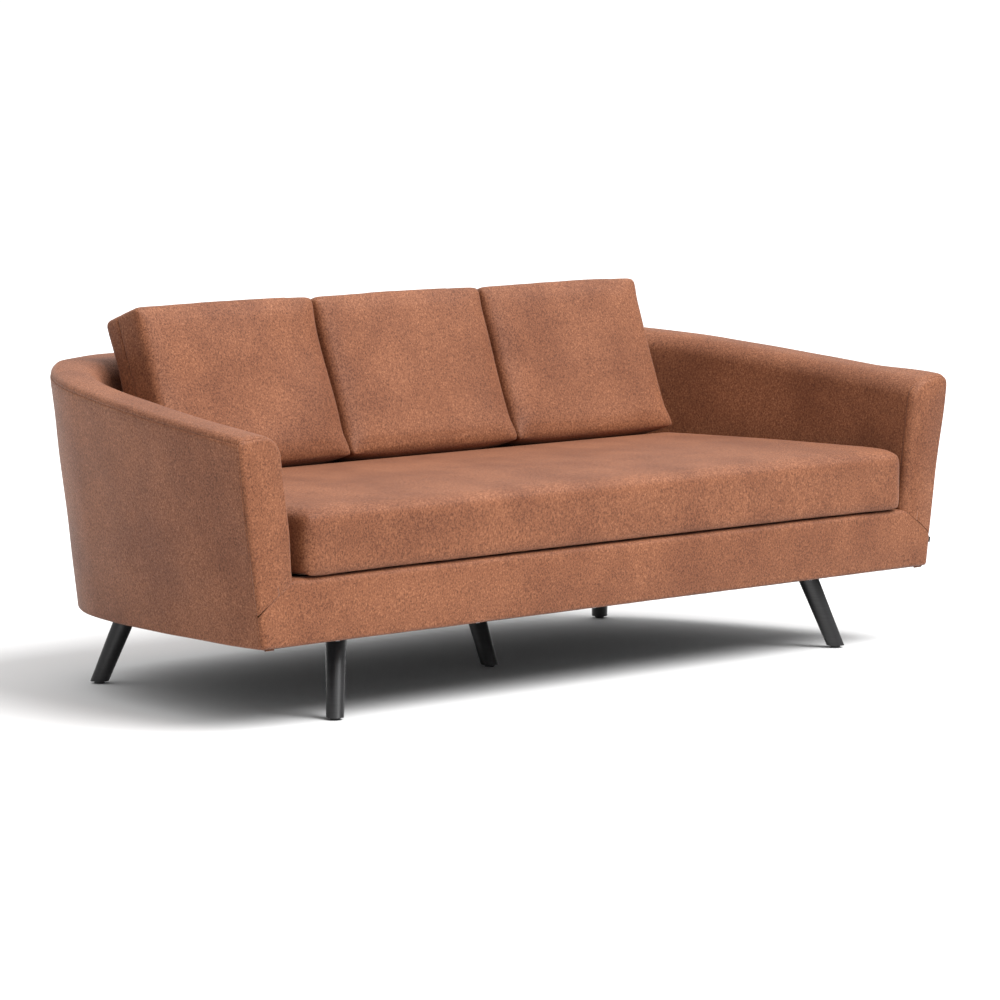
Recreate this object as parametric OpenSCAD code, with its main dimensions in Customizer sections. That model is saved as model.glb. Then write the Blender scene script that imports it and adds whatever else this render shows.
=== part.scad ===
// Three-seat sofa: a tub shell on a timber frame, loose cushions and five splayed turned legs.
// X runs across the seat, +Y to the back, +Z up. The origin is on the floor under the middle of the sofa.

/* [Shell] */
// Half of the shell's width along its lower edge at the front
base_half_w = 1000; // [900:5:1100]
// Height of the shell's underside
base_z = 169; // [140:1:200]
// Sideways lean of the arms for each mm of height
flare = 0.145; // [0.05:0.005:0.2]
// Plan radius of the gently bowed sides
side_bow_r = 2200; // [1800:50:3000]
// Angle that the bowed side turns through before the corner
side_bow_angle = 15.5; // [10:0.5:18]
// Plan radius of the rear corners
corner_r = 500; // [460:5:520]
// Height of the arm top at the front
rim_front_z = 587; // [560:1:610]
// Height of the rim along the back
rim_back_z = 681; // [650:1:700]
// Distance behind the front where the rim stops rising
rim_rise_depth = 850; // [700:10:900]
// Thickness of the arms
arm_t = 105; // [95:1:115]
// Extra thickness of the back at its rim
back_extra_t = 60; // [40:1:70]
// Lean of the back's inner face for each mm of height
back_lean = 0.14; // [0.05:0.01:0.2]
// Top of the strip under the seat cushion
border_top_z = 297; // [285:1:300]

/* [Seat cushion] */
// Height of the cushion's underside
seat_z = 303.5; // [302:0.5:306]
// Cushion thickness
seat_t = 132.5; // [120:0.5:133]
// Gap between the cushion's edge and the shell at its underside
seat_gap = 1.5; // [1:0.5:5]

/* [Back cushions] */
// Spacing of the cushions
back_cushion_pitch = 503; // [440:1:503]
// Gap between neighbours
back_cushion_gap = 3; // [1:0.5:8]
// Cushion thickness
back_cushion_t = 112; // [90:1:114]
// Height of the cushion along its front face
back_cushion_h = 357; // [300:1:365]
// Recline from upright
back_cushion_tilt = 20; // [17:0.5:21]
// Distance from the shell's front to the cushion's lower front edge
back_cushion_y = 552; // [500:1:555]
// Height of the lower front edge
back_cushion_z = 455; // [455:1:470]

/* [Legs] */
// Sideways place of the corner legs' feet
foot_x = 760; // [700:5:770]
// Distance from the shell's front to the front feet
foot_front_y = 57; // [55:1:80]
// Distance from the shell's front to the back feet
foot_back_y = 785; // [740:1:790]
// Distance from the shell's front to the centre foot
foot_centre_y = 382; // [340:1:420]
// Lean of the legs from upright
leg_splay = 22.5; // [10:0.5:24]
// Leg radius at the top
leg_top_r = 22; // [20:0.5:25]
// Leg radius at the bottom
leg_foot_r = 18; // [16:0.5:20]

/* [Glides] */
// Radius of the glide's pad
glide_r = 10.5; // [9:0.5:12]
// Thickness of the glide's pad
glide_t = 5; // [4:0.5:6]
// Radius of the glide's threaded stem
stem_r = 3; // [2.5:0.5:3]

/* [Hidden] */
$fn = 48;

leather_colour = [0.66, 0.45, 0.36];
leg_colour = [0.04, 0.04, 0.045];
timber_colour = [0.80, 0.66, 0.46];
foam_colour = [0.93, 0.90, 0.78];
steel_colour = [0.62, 0.63, 0.65];
cloth_colour = [0.12, 0.12, 0.13];

// Centres of the plan's arcs, measured from the middle of the shell's front
side_cx = base_half_w - side_bow_r;
corner_cx = side_cx + (side_bow_r - corner_r) * cos(side_bow_angle);
corner_cy = (side_bow_r - corner_r) * sin(side_bow_angle);
depth = corner_cy + corner_r;
front_y = -depth / 2;

// Layers of the shell, as distances in from its outer face
cover_t = 2;
board_in = 3;
board_t = 4;
frame_in = 10;
rail_t = 30;
top_rail_t = 56;
rim_roll = 34;
rim_edge = 14;
foam_top_t = 19;
foam_side_t = 30;

// Heights in the frame
frame_z = base_z + 4;
rail_top_z = 283;
deck_z = 290;
top_rail_drop = 26;
top_rail_h = 36;
front_layer_y = 2.2;
front_foam_t = 10;
post_y = 14;
arm_foam_y = 26;

// Lesser of two lengths, rounded off where they are within a blend length of each other
corner_blend = 60;
function soft_min(a, b) = let (h = max(corner_blend - abs(a - b), 0) / corner_blend)
    min(a, b) - h * h * corner_blend / 4;
function rim_z(y) = rim_front_z + (rim_back_z - rim_front_z) * min(1, y / rim_rise_depth);

// A station is [arc centre x, arc centre y, arc radius, heading, share of the flare]
function side_station(h) = [side_cx, 0, side_bow_r, h, 1];
function corner_station(h) = [corner_cx, corner_cy, corner_r, h, 1];
function side_station_at(y) = side_station(asin(y / side_bow_r));
function station_y(s) = s[1] + s[2] * sin(s[3]);
function back_t(z) = arm_t + back_extra_t + (rim_back_z - z) * back_lean;
function shell_point(s, d, z) = [
    s[0] + (s[2] - d) * cos(s[3]) + s[4] * flare * (z - base_z),
    s[1] + (s[2] - d) * sin(s[3]) + front_y,
    z
];

// A point set back into the padding from the inner face: the arms follow the plan, the back is flat
function inner_point(s, c, z) = [
    s[0] + (s[2] - arm_t + c) * cos(s[3]) + s[4] * flare * (z - base_z),
    soft_min(s[1] + (s[2] - arm_t + c) * sin(s[3]), depth - back_t(z) + c) + front_y,
    z
];
// The same point brought up to another height, leaning sideways with the flare
function inner_point_at(s, c, z, z_new) =
    let (p = inner_point(s, c, z)) [p[0] + s[4] * flare * (z_new - z), p[1], z_new];

// Stations along the right-hand half, from a distance behind the front to the end of the corner
side_steps = 6;
corner_steps = 12;
function arm_stations(y0) = let (h0 = asin(y0 / side_bow_r)) concat(
    [for (i = [0 : side_steps]) side_station(h0 + (side_bow_angle - h0) * i / side_steps)],
    [for (i = [1 : corner_steps])
        corner_station(side_bow_angle + (90 - side_bow_angle) * i / corner_steps)]
);

// A closed solid through a list of rings with the same even number of points: one side of the
// layer, then the other side in reverse. Each four-sided patch is split along its shorter diagonal.
module loft(rings) {
    m = len(rings[0]);
    last = len(rings) - 1;
    points = [for (r = rings) each r];
    sides = [for (i = [0 : last - 1], j = [0 : m - 1])
        let (a = i * m + j, b = i * m + (j + 1) % m)
        each norm(points[a] - points[b + m]) < norm(points[b] - points[a + m])
            ? [[a, b + m, b], [a, a + m, b + m]]
            : [[a, a + m, b], [b, a + m, b + m]]];
    start_cap = [for (j = [0 : m / 2 - 2]) [j, j + 1, m - 2 - j, m - 1 - j]];
    end_cap = [for (j = [0 : m / 2 - 2])
        let (a = last * m + j, b = last * m + m - 1 - j) [b, b - 1, a + 1, a]];
    polyhedron(points = points, faces = concat(sides, start_cap, end_cap), convexity = 8);
}

// Puts a right-hand piece on the chosen side
module on_side(side) {
    if (side > 0) children();
    else mirror([1, 0, 0]) children();
}

// Sections of the shell's layers, each a list of points at one station
function bar_section(s, d0, d1, z0, z1) = [
    shell_point(s, d1, z0), shell_point(s, d1, z1), shell_point(s, d0, z1), shell_point(s, d0, z0)
];
function rail_section(s) = bar_section(s, frame_in, frame_in + rail_t, frame_z, rail_top_z);
function top_rail_section(s) = let (z = rim_z(station_y(s)) - top_rail_drop)
    bar_section(s, frame_in, frame_in + top_rail_t, z - top_rail_h, z);
function post_section(s) = bar_section(
    s, frame_in, frame_in + rail_t, rail_top_z + 1, rim_z(station_y(s)) - top_rail_drop - top_rail_h - 1);
function front_post_section(s) = bar_section(
    s, frame_in, frame_in + top_rail_t, frame_z, rim_z(station_y(s)) - top_rail_drop - top_rail_h - 1);
function board_section(s) = bar_section(
    s, board_in, board_in + board_t, base_z + 3, rim_z(station_y(s)) - rim_edge - 3);
function outside_section(s) = bar_section(s, 0, cover_t, base_z, rim_z(station_y(s)) - rim_edge + 1);

// The inside cover runs up the inner face, over the rolled rim and down to the outer seam
function inside_section(s) = let (
    z = rim_z(station_y(s)),
    z0 = deck_z + 13.5,
    zr = z - rim_roll,
    knee = rim_roll * 0.3
) [
    inner_point(s, 0, z0),
    inner_point(s, 0, zr),
    inner_point_at(s, knee, zr, z - knee),
    inner_point_at(s, rim_roll, zr, z),
    shell_point(s, rim_edge, z),
    shell_point(s, 0, z - rim_edge + 1.5),
    shell_point(s, cover_t, z - rim_edge + 1.5),
    shell_point(s, rim_edge + 1, z - cover_t),
    inner_point_at(s, rim_roll + 1, zr, z - cover_t),
    inner_point_at(s, knee + 1.5, zr, z - knee - 1.5),
    inner_point_at(s, cover_t, zr, zr - 1),
    inner_point(s, cover_t, z0),
];

// Foam under the inside cover: a slab on the inner face that turns over the top rail
function foam_section(s) = let (
    z = rim_z(station_y(s)),
    z0 = deck_z + 13.5,
    zr = z - rim_roll,
    under = z - cover_t - foam_top_t,
    gap = cover_t + 1
) [
    inner_point(s, gap, z0),
    inner_point_at(s, gap, zr, zr - 2),
    inner_point_at(s, rim_roll + 2, zr, z - gap),
    shell_point(s, rim_edge + 3, z - gap),
    shell_point(s, gap + 4, z - rim_edge - 2),
    shell_point(s, gap + 5, under),
    inner_point_at(s, gap + foam_side_t, zr, under),
    inner_point(s, gap + foam_side_t, z0),
];

// The straight back spans between mirrored end stations
back_end = corner_station(90);
function mirrored(ring) = [for (p = ring) [-p[0], p[1], p[2]]];
module back_span(ring) {
    loft([ring, mirrored(ring)]);
}

module arm_span(side, stations, ring_of) {
    on_side(side) loft([for (s = stations) ring_of(s)]);
}

// Plan outlines at a height: set in from the outer face, and clear of the inner face
function both_sides(right) =
    concat(right, [for (i = [len(right) - 1 : -1 : 0]) [-right[i][0], right[i][1]]]);
function outer_plan(d, z) =
    both_sides([for (s = arm_stations(0)) let (p = shell_point(s, d, z)) [p[0], p[1]]]);
function inner_plan(gap, z) =
    both_sides([for (s = arm_stations(0)) let (p = inner_point(s, -gap, z)) [p[0], p[1]]]);

// ---- Timber frame ----

module front_rail() {
    color(timber_colour)
        translate([0, front_y + post_y + rail_t / 2, (frame_z + rail_top_z) / 2])
            cube([2 * (base_half_w - frame_in - top_rail_t - 3), rail_t, rail_top_z - frame_z], center = true);
}

module back_rail() {
    color(timber_colour) back_span(rail_section(back_end));
}

module side_rail(side) {
    color(timber_colour)
        arm_span(side, arm_stations(post_y + rail_t + 1), function(s) rail_section(s));
}

spring_rail_y = 735;
spring_rail_d = 32;
module spring_rail() {
    color(timber_colour)
        translate([-765, front_y + spring_rail_y, rail_top_z - 45]) cube([1530, spring_rail_d, 45]);
}

stretcher_w = 140;
stretcher_t = 32;
stretcher_bolt_r = 4.3;
module stretcher(x, legs) {
    color(timber_colour) difference() {
        intersection() {
            translate([x - stretcher_w / 2, front_y + post_y + rail_t + 0.5, frame_z])
                cube([stretcher_w, depth, stretcher_t]);
            translate([0, 0, frame_z - 1]) linear_extrude(height = stretcher_t + 2)
                polygon(outer_plan(frame_in + rail_t + 1, frame_z));
        }
        for (leg = legs) at_leg(leg) cylinder(r = stretcher_bolt_r, h = 120, center = true);
        for (leg = legs) plate_holes(leg, screw_r + 0.05, 60);
    }
}

module front_post(side) {
    color(timber_colour)
        arm_span(side, [side_station_at(post_y), side_station_at(post_y + rail_t)],
            function(s) front_post_section(s));
}

arm_post_y = [300, 560];
arm_post_w = 40;
module arm_posts() {
    color(timber_colour) for (side = [-1, 1], y = arm_post_y)
        arm_span(side, [side_station_at(y), side_station_at(y + arm_post_w * 0.65)],
            function(s) post_section(s));
}

back_post_x = [-420, -140, 140, 420];
module back_posts() {
    post_h = rim_back_z - top_rail_drop - top_rail_h - rail_top_z - 2;
    color(timber_colour) for (x = back_post_x)
        translate([x - 20, front_y + depth - frame_in - rail_t, rail_top_z + 1])
            cube([40, rail_t, post_h]);
}

module arm_top_rail(side) {
    color(timber_colour)
        arm_span(side, arm_stations(post_y), function(s) top_rail_section(s));
}

module back_top_rail() {
    color(timber_colour) back_span(top_rail_section(back_end));
}

module side_board(side) {
    color("burlywood") arm_span(side, arm_stations(post_y), function(s) board_section(s));
}

module back_board() {
    color("burlywood") back_span(board_section(back_end));
}

// ---- Springs, webbing and deck ----

spring_count = 11;
spring_pitch = 138;
spring_wire = 3.8;
spring_half_w = 22;
spring_loops = 13;
spring_y0 = post_y + rail_t - 12;
spring_y1 = spring_rail_y + 12;
spring_z = rail_top_z + 1.2;
spring_points = 8;
// Centre line of a sinuous spring and the sideways outline of its wire
function spring_x(t) = spring_half_w * sin(360 * t * spring_loops / 2) * min(1, 12 * t, 12 * (1 - t));
function spring_y(t) = spring_y0 + (spring_y1 - spring_y0) * t;
function spring_side(sign) = [for (i = [0 : spring_loops * spring_points])
    let (
        t = i / (spring_loops * spring_points),
        e = 0.0005,
        v = [spring_x(min(1, t + e)) - spring_x(max(0, t - e)),
             spring_y(min(1, t + e)) - spring_y(max(0, t - e))],
        n = [v[1], -v[0]] / norm(v)
    ) [spring_x(t), spring_y(t)] + sign * spring_wire / 2 * n];
module seat_springs() {
    left_side = spring_side(-1);
    outline = concat(spring_side(1), [for (i = [len(left_side) - 1 : -1 : 0]) left_side[i]]);
    color(steel_colour) for (i = [0 : spring_count - 1])
        translate([(i - (spring_count - 1) / 2) * spring_pitch, front_y, spring_z])
            linear_extrude(height = spring_wire) polygon(outline);
}

clip_w = 16;
module spring_clips() {
    clip_z = spring_z + spring_wire + 0.1;
    color(steel_colour) for (i = [0 : spring_count - 1], y = [spring_y0 - 8, spring_y1 - 12])
        translate([(i - (spring_count - 1) / 2) * spring_pitch - clip_w / 2, front_y + y, clip_z])
            cube([clip_w, 20, 1.2]);
}

webbing_x = [-320, -160, 0, 160, 320];
webbing_w = 60;
module back_webbing() {
    y = front_y + depth - frame_in - top_rail_t - 2.5;
    color("dimgray") for (x = webbing_x)
        translate([x - webbing_w / 2, y, rail_top_z + 25])
            cube([webbing_w, 2, rim_back_z - top_rail_drop - rail_top_z - 30]);
}

deck_t = 12.5;
module seat_deck() {
    color(cloth_colour) translate([0, 0, deck_z]) linear_extrude(height = deck_t) difference() {
        polygon(inner_plan(1.5, deck_z));
        translate([-base_half_w, front_y - 1]) square([2 * base_half_w, 50]);
    }
}

// ---- Foam ----

module arm_foam(side) {
    color(foam_colour)
        arm_span(side, arm_stations(arm_foam_y), function(s) foam_section(s));
}

module back_foam() {
    color(foam_colour) back_span(foam_section(back_end));
}

// ---- Front face: two arm fronts mitred into the border ----

function outer_x(z) = base_half_w + flare * (z - base_z);
inner_corner_x = outer_x(border_top_z) - arm_t;
// Where the mitre meets the arm's outer edge
mitre_z = 240;
mitre_x = outer_x(mitre_z);
front_corner_r = 26;

module front_plate(outline, t) {
    translate([0, front_y + t, 0]) rotate([90, 0, 0]) linear_extrude(height = t) children();
}

module arm_front_outline() {
    difference() {
        polygon([
            [inner_corner_x, border_top_z],
            [mitre_x, mitre_z],
            [outer_x(rim_front_z), rim_front_z],
            [outer_x(rim_front_z) - arm_t, rim_front_z],
        ]);
        corner_cut(outer_x(rim_front_z) - 1.5, 1, front_corner_r);
        corner_cut(outer_x(rim_front_z) - arm_t - 0.5, -1, front_corner_r);
    }
}

// Takes off one top corner of the arm front and leaves it round
module corner_cut(x, side, r) {
    translate([x - side * r, rim_front_z - r]) difference() {
        translate([side > 0 ? 0 : -r - 8, 0]) square([r + 8, r + 1]);
        circle(r = r);
    }
}

module arm_front(side) {
    color(leather_colour) on_side(side) front_plate(t = cover_t) arm_front_outline();
}

module front_border() {
    color(leather_colour) front_plate(t = cover_t) polygon([
        [-base_half_w, base_z], [base_half_w, base_z],
        [mitre_x - 0.2, mitre_z - 0.2], [inner_corner_x - 0.2, border_top_z - 0.2],
        [0.2 - inner_corner_x, border_top_z - 0.2], [0.2 - mitre_x, mitre_z - 0.2],
    ]);
}

// One foam sheet behind the whole front face, 3 mm in from its edges
module front_foam() {
    inset = 3;
    roll_inset = 12;
    top_z = rim_front_z - 16;
    color(foam_colour) translate([0, front_y + front_layer_y + front_foam_t, 0]) rotate([90, 0, 0])
        linear_extrude(height = front_foam_t) polygon([
            [-base_half_w + inset, base_z + inset], [base_half_w - inset, base_z + inset],
            [outer_x(top_z) - 2 * inset, top_z], [outer_x(top_z) - arm_t + roll_inset, top_z],
            [inner_corner_x + inset, border_top_z - inset],
            [-inner_corner_x - inset, border_top_z - inset],
            [arm_t - outer_x(top_z) - roll_inset, top_z], [2 * inset - outer_x(top_z), top_z],
        ]);
}

// ---- Covers of the shell ----

module outside_arm(side) {
    color(leather_colour)
        arm_span(side, arm_stations(front_layer_y), function(s) outside_section(s));
}

module outside_back() {
    color(leather_colour) back_span(outside_section(back_end));
}

module inside_arm(side) {
    color(leather_colour)
        arm_span(side, arm_stations(front_layer_y), function(s) inside_section(s));
}

module inside_back() {
    color(leather_colour) back_span(inside_section(back_end));
}

plate_size = 80;
plate_t = 4;
module dust_cover() {
    color(cloth_colour) translate([0, 0, base_z + 1]) linear_extrude(height = 1.2) difference() {
        polygon(outer_plan(cover_t + 1.5, base_z + 1));
        translate([-base_half_w, front_y - 1]) square([2 * base_half_w, 14]);
        for (leg = legs)
            translate([leg[0], leg[1]]) square(plate_size + 4, center = true);
    }
}

tab_size = 12;
tab_y = 3;
tab_z = 219;
tab_gap = 0.4;
tab_t = 1.2;
module side_tab() {
    color(cloth_colour)
        arm_span(1, [side_station_at(tab_y), side_station_at(tab_y + tab_size)],
            function(s) bar_section(s, -tab_gap - tab_t, -tab_gap, tab_z, tab_z + tab_size));
}

// ---- Cushions ----

cushion_cover_t = 2;
core_gap = 0.4;
seat_edge_r = 16;
// Plan of the seat cushion, set in by a distance from its own edge
module seat_plan(inset) {
    difference() {
        polygon(inner_plan(seat_gap + inset, seat_z));
        translate([-base_half_w, front_y - 1]) square([2 * base_half_w, 1.5 + inset]);
    }
}

// The seat cushion's block, its upper and lower edges chamfered
module seat_block(inset) {
    edge = seat_edge_r / 2;
    translate([0, 0, seat_z + inset]) linear_extrude(height = edge) seat_plan(inset + edge / 2);
    translate([0, 0, seat_z + inset + edge]) linear_extrude(height = seat_t - 2 * inset - 2 * edge)
        seat_plan(inset);
    translate([0, 0, seat_z + seat_t - inset - edge]) linear_extrude(height = edge)
        seat_plan(inset + edge / 2);
}

module seat_cushion_cover() {
    color(leather_colour) difference() {
        seat_block(0);
        seat_block(cushion_cover_t);
    }
}

module seat_cushion_core() {
    color(foam_colour) seat_block(cushion_cover_t + core_gap);
}

// Side profile corners of a back cushion: lower front, upper front, upper rear, lower rear
back_cushion_w = back_cushion_pitch - back_cushion_gap;
back_edge_r = 16;
function back_profile() = let (
    up = [sin(back_cushion_tilt), cos(back_cushion_tilt)],
    rear = [cos(back_cushion_tilt), -sin(back_cushion_tilt)],
    low = [back_cushion_y, back_cushion_z],
    top = low + back_cushion_h * up
) [low, top, top + back_cushion_t * rear, [low[0] + back_cushion_t, seat_z + seat_t + 1]];

// Corner centres move in along both edges of the profile by the same radius
function inward(points, i, r) = let (
    n = len(points),
    p = points[i],
    a = (points[(i + 1) % n] - p) / norm(points[(i + 1) % n] - p),
    b = (points[(i + n - 1) % n] - p) / norm(points[(i + n - 1) % n] - p),
    half = acos(a * b) / 2
) p + r / sin(half) * (a + b) / norm(a + b);

module back_cushion_block(x, inset) {
    profile = back_profile();
    r = back_edge_r;
    reach = back_cushion_w / 2 - inset - r;
    hull() for (i = [0 : len(profile) - 1], side = [-1, 1]) {
        c = inward(profile, i, r + inset);
        translate([x + side * reach, front_y + c[0], c[1]]) sphere(r = r, $fn = 24);
    }
}

module back_cushion_cover(x) {
    color(leather_colour) difference() {
        back_cushion_block(x, 0);
        back_cushion_block(x, cushion_cover_t);
    }
}

module back_cushion_core(x) {
    color(foam_colour) back_cushion_block(x, cushion_cover_t + core_gap);
}

// ---- Legs, their plates and fasteners ----

splay_shift = (base_z - glide_t) * tan(leg_splay);
leg_drop = base_z - glide_t;
// A leg is [top x, top y, direction of its lean in plan]
function leg_at(x, y, azimuth) = [
    x - base_z * tan(leg_splay) * cos(azimuth),
    front_y + y - base_z * tan(leg_splay) * sin(azimuth),
    azimuth
];
leg_fl = leg_at(-foot_x, foot_front_y, 225);
leg_fr = leg_at(foot_x, foot_front_y, -45);
leg_bl = leg_at(-foot_x, foot_back_y, 135);
leg_br = leg_at(foot_x, foot_back_y, 45);
leg_c = leg_at(0, foot_centre_y, -90);
legs = [leg_fl, leg_fr, leg_bl, leg_br, leg_c];

// Local -Z runs down the leg from the middle of its top
module at_leg(leg) {
    translate([leg[0], leg[1], base_z]) rotate([0, 0, leg[2]]) rotate([0, -leg_splay, 0]) children();
}

// Middle of the leg's lower end
module at_foot(leg) {
    translate([
        leg[0] + splay_shift * cos(leg[2]),
        leg[1] + splay_shift * sin(leg[2]),
        glide_t
    ]) children();
}

insert_r = 5.5;
insert_h = 24;
bolt_r = 3.9;
stem_h = 16;
nut_r = 4.6;
nut_h = 14;
fit_gap = 0.05;

module leg(leg) {
    length = leg_drop / cos(leg_splay);
    over = 12;
    slope = (leg_top_r - leg_foot_r) / length;
    color(leg_colour) difference() {
        intersection() {
            at_leg(leg) translate([0, 0, -length - over])
                cylinder(r1 = leg_foot_r - slope * over, r2 = leg_top_r + slope * over, h = length + 2 * over);
            translate([leg[0] - 200, leg[1] - 200, glide_t]) cube([400, 400, leg_drop - 0.2]);
        }
        at_leg(leg) translate([0, 0, -insert_h - 1]) cylinder(r = insert_r + fit_gap, h = insert_h + 20);
        at_foot(leg) translate([0, 0, -1]) cylinder(r = nut_r + fit_gap, h = stem_h + 3);
    }
}

// Screw places in the plate's corners
screw_r = 2.2;
screw_spread = 29;
module plate_holes(leg, r, h) {
    for (dx = [-1, 1], dy = [-1, 1])
        translate([leg[0] + dx * screw_spread, leg[1] + dy * screw_spread, base_z])
            cylinder(r = r, h = h, center = true, $fn = 24);
}

module leg_plates() {
    color(steel_colour) for (leg = legs) difference() {
        translate([leg[0] - plate_size / 2, leg[1] - plate_size / 2, base_z])
            cube([plate_size, plate_size, plate_t - 0.1]);
        at_leg(leg) cylinder(r = bolt_r + fit_gap, h = 60, center = true);
        plate_holes(leg, screw_r + fit_gap, 30);
    }
}

screw_h = 24;
screw_head_r = 4;
module plate_screws() {
    color(steel_colour) for (leg = legs, dx = [-1, 1], dy = [-1, 1])
        translate([leg[0] + dx * screw_spread, leg[1] + dy * screw_spread, base_z - 2]) {
            cylinder(r = screw_head_r, h = 1.95, $fn = 24);
            cylinder(r = screw_r, h = screw_h, $fn = 24);
        }
}

module hanger_bolts() {
    color(steel_colour) for (leg = legs)
        at_leg(leg) translate([0, 0, -insert_h + 2]) cylinder(r = bolt_r, h = insert_h + 24);
}

// Upper insert for the hanger bolt and lower nut for the glide in every leg
module leg_inserts() {
    color("goldenrod") for (leg = legs) {
        difference() {
            at_leg(leg) translate([0, 0, -insert_h]) cylinder(r = insert_r, h = insert_h + 6);
            at_leg(leg) translate([0, 0, -insert_h - 1]) cylinder(r = bolt_r + fit_gap, h = insert_h + 20);
            translate([leg[0] - 50, leg[1] - 50, base_z - 0.2]) cube([100, 100, 20]);
        }
        at_foot(leg) difference() {
            translate([0, 0, 0.1]) cylinder(r = nut_r, h = nut_h);
            translate([0, 0, -1]) cylinder(r = stem_r + fit_gap, h = nut_h + 3);
        }
    }
}

module glide(leg) {
    color(leg_colour) at_foot(leg) {
        translate([0, 0, -glide_t]) cylinder(r1 = glide_r - 0.8, r2 = glide_r, h = 1);
        translate([0, 0, -glide_t + 1]) cylinder(r = glide_r, h = glide_t - 1.1);
        translate([0, 0, -1]) cylinder(r = stem_r, h = stem_h);
    }
}

front_rail();
back_rail();
side_rail(-1);  // side_rail_left
side_rail(1);  // side_rail_right
spring_rail();
stretcher(leg_fl[0], [leg_fl, leg_bl]);  // stretcher_left
stretcher(leg_fr[0], [leg_fr, leg_br]);  // stretcher_right
stretcher(0, [leg_c]);  // stretcher_centre
front_post(-1);  // front_post_left
front_post(1);  // front_post_right
arm_posts();
back_posts();
arm_top_rail(-1);  // arm_top_rail_left
arm_top_rail(1);  // arm_top_rail_right
back_top_rail();
side_board(-1);  // side_board_left
side_board(1);  // side_board_right
back_board();
seat_springs();
spring_clips();
back_webbing();
seat_deck();
arm_foam(-1);  // arm_foam_left
arm_foam(1);  // arm_foam_right
back_foam();
front_foam();
outside_arm(-1);  // outside_arm_left
outside_arm(1);  // outside_arm_right
outside_back();
inside_arm(-1);  // inside_arm_left
inside_arm(1);  // inside_arm_right
inside_back();
arm_front(-1);  // arm_front_left
arm_front(1);  // arm_front_right
front_border();
dust_cover();
side_tab();
seat_cushion_cover();
seat_cushion_core();
back_cushion_cover(-back_cushion_pitch);  // back_cushion_cover_left
back_cushion_cover(0);  // back_cushion_cover_centre
back_cushion_cover(back_cushion_pitch);  // back_cushion_cover_right
back_cushion_core(-back_cushion_pitch);  // back_cushion_core_left
back_cushion_core(0);  // back_cushion_core_centre
back_cushion_core(back_cushion_pitch);  // back_cushion_core_right
leg(leg_fl);  // leg_front_left
leg(leg_fr);  // leg_front_right
leg(leg_bl);  // leg_back_left
leg(leg_br);  // leg_back_right
leg(leg_c);  // leg_centre
leg_plates();
plate_screws();
hanger_bolts();
leg_inserts();
glide(leg_fl);  // glide_front_left
glide(leg_fr);  // glide_front_right
glide(leg_bl);  // glide_back_left
glide(leg_br);  // glide_back_right
glide(leg_c);  // glide_centre
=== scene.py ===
"""Three-seat tub sofa: upholstered shell, loose cushions, splayed black legs. Metres, CAD frame."""
from math import asin, copysign, cos, exp, pi, radians, sin

import bmesh
import bpy
import numpy as np
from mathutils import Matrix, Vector, noise
from mathutils.bvhtree import BVHTree


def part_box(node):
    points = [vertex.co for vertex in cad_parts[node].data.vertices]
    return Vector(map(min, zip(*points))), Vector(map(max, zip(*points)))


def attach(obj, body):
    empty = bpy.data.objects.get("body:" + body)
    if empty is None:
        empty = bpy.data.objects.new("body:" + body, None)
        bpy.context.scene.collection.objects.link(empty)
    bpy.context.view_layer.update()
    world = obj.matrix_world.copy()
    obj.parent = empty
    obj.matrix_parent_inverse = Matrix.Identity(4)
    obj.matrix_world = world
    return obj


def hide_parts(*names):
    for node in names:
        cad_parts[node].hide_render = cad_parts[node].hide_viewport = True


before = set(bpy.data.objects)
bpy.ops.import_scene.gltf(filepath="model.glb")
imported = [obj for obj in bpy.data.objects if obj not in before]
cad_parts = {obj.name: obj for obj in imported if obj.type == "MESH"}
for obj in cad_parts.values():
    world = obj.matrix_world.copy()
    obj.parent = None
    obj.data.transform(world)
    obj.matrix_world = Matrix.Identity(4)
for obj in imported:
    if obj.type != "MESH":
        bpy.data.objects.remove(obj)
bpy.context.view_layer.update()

# ---- places taken from the frame
border_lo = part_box("front_border")[0]
deck_lo, deck_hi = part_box("seat_deck")
seat_lo, seat_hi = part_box("seat_cushion_cover")

FRONT_Y = border_lo.y
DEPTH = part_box("outside_back")[1].y - FRONT_Y
BASE_Z = border_lo.z - 0.0015
RIM_FRONT_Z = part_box("arm_front_right")[1].z
RIM_BACK_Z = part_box("inside_back")[1].z
SIDE_NAMES = {1: "right", -1: "left"}

# ---- the shell's form, as in the CAD model
BASE_HALF_W = 1.000
FLARE = 0.145
SIDE_R = 2.200
SIDE_ANGLE = radians(15.5)
CORNER_R = 0.500
RIM_RISE = 0.850
ARM_T = 0.105
BACK_EXTRA_T = 0.060
BACK_LEAN = 0.14
CORNER_BLEND = 0.060

SIDE_CX = BASE_HALF_W - SIDE_R
CORNER_CX = SIDE_CX + (SIDE_R - CORNER_R) * cos(SIDE_ANGLE)
CORNER_CY = (SIDE_R - CORNER_R) * sin(SIDE_ANGLE)
SIDE_LENGTH = SIDE_R * SIDE_ANGLE
ARM_LENGTH = SIDE_LENGTH + CORNER_R * (pi / 2 - SIDE_ANGLE)
HALF_LENGTH = ARM_LENGTH + CORNER_CX

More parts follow.
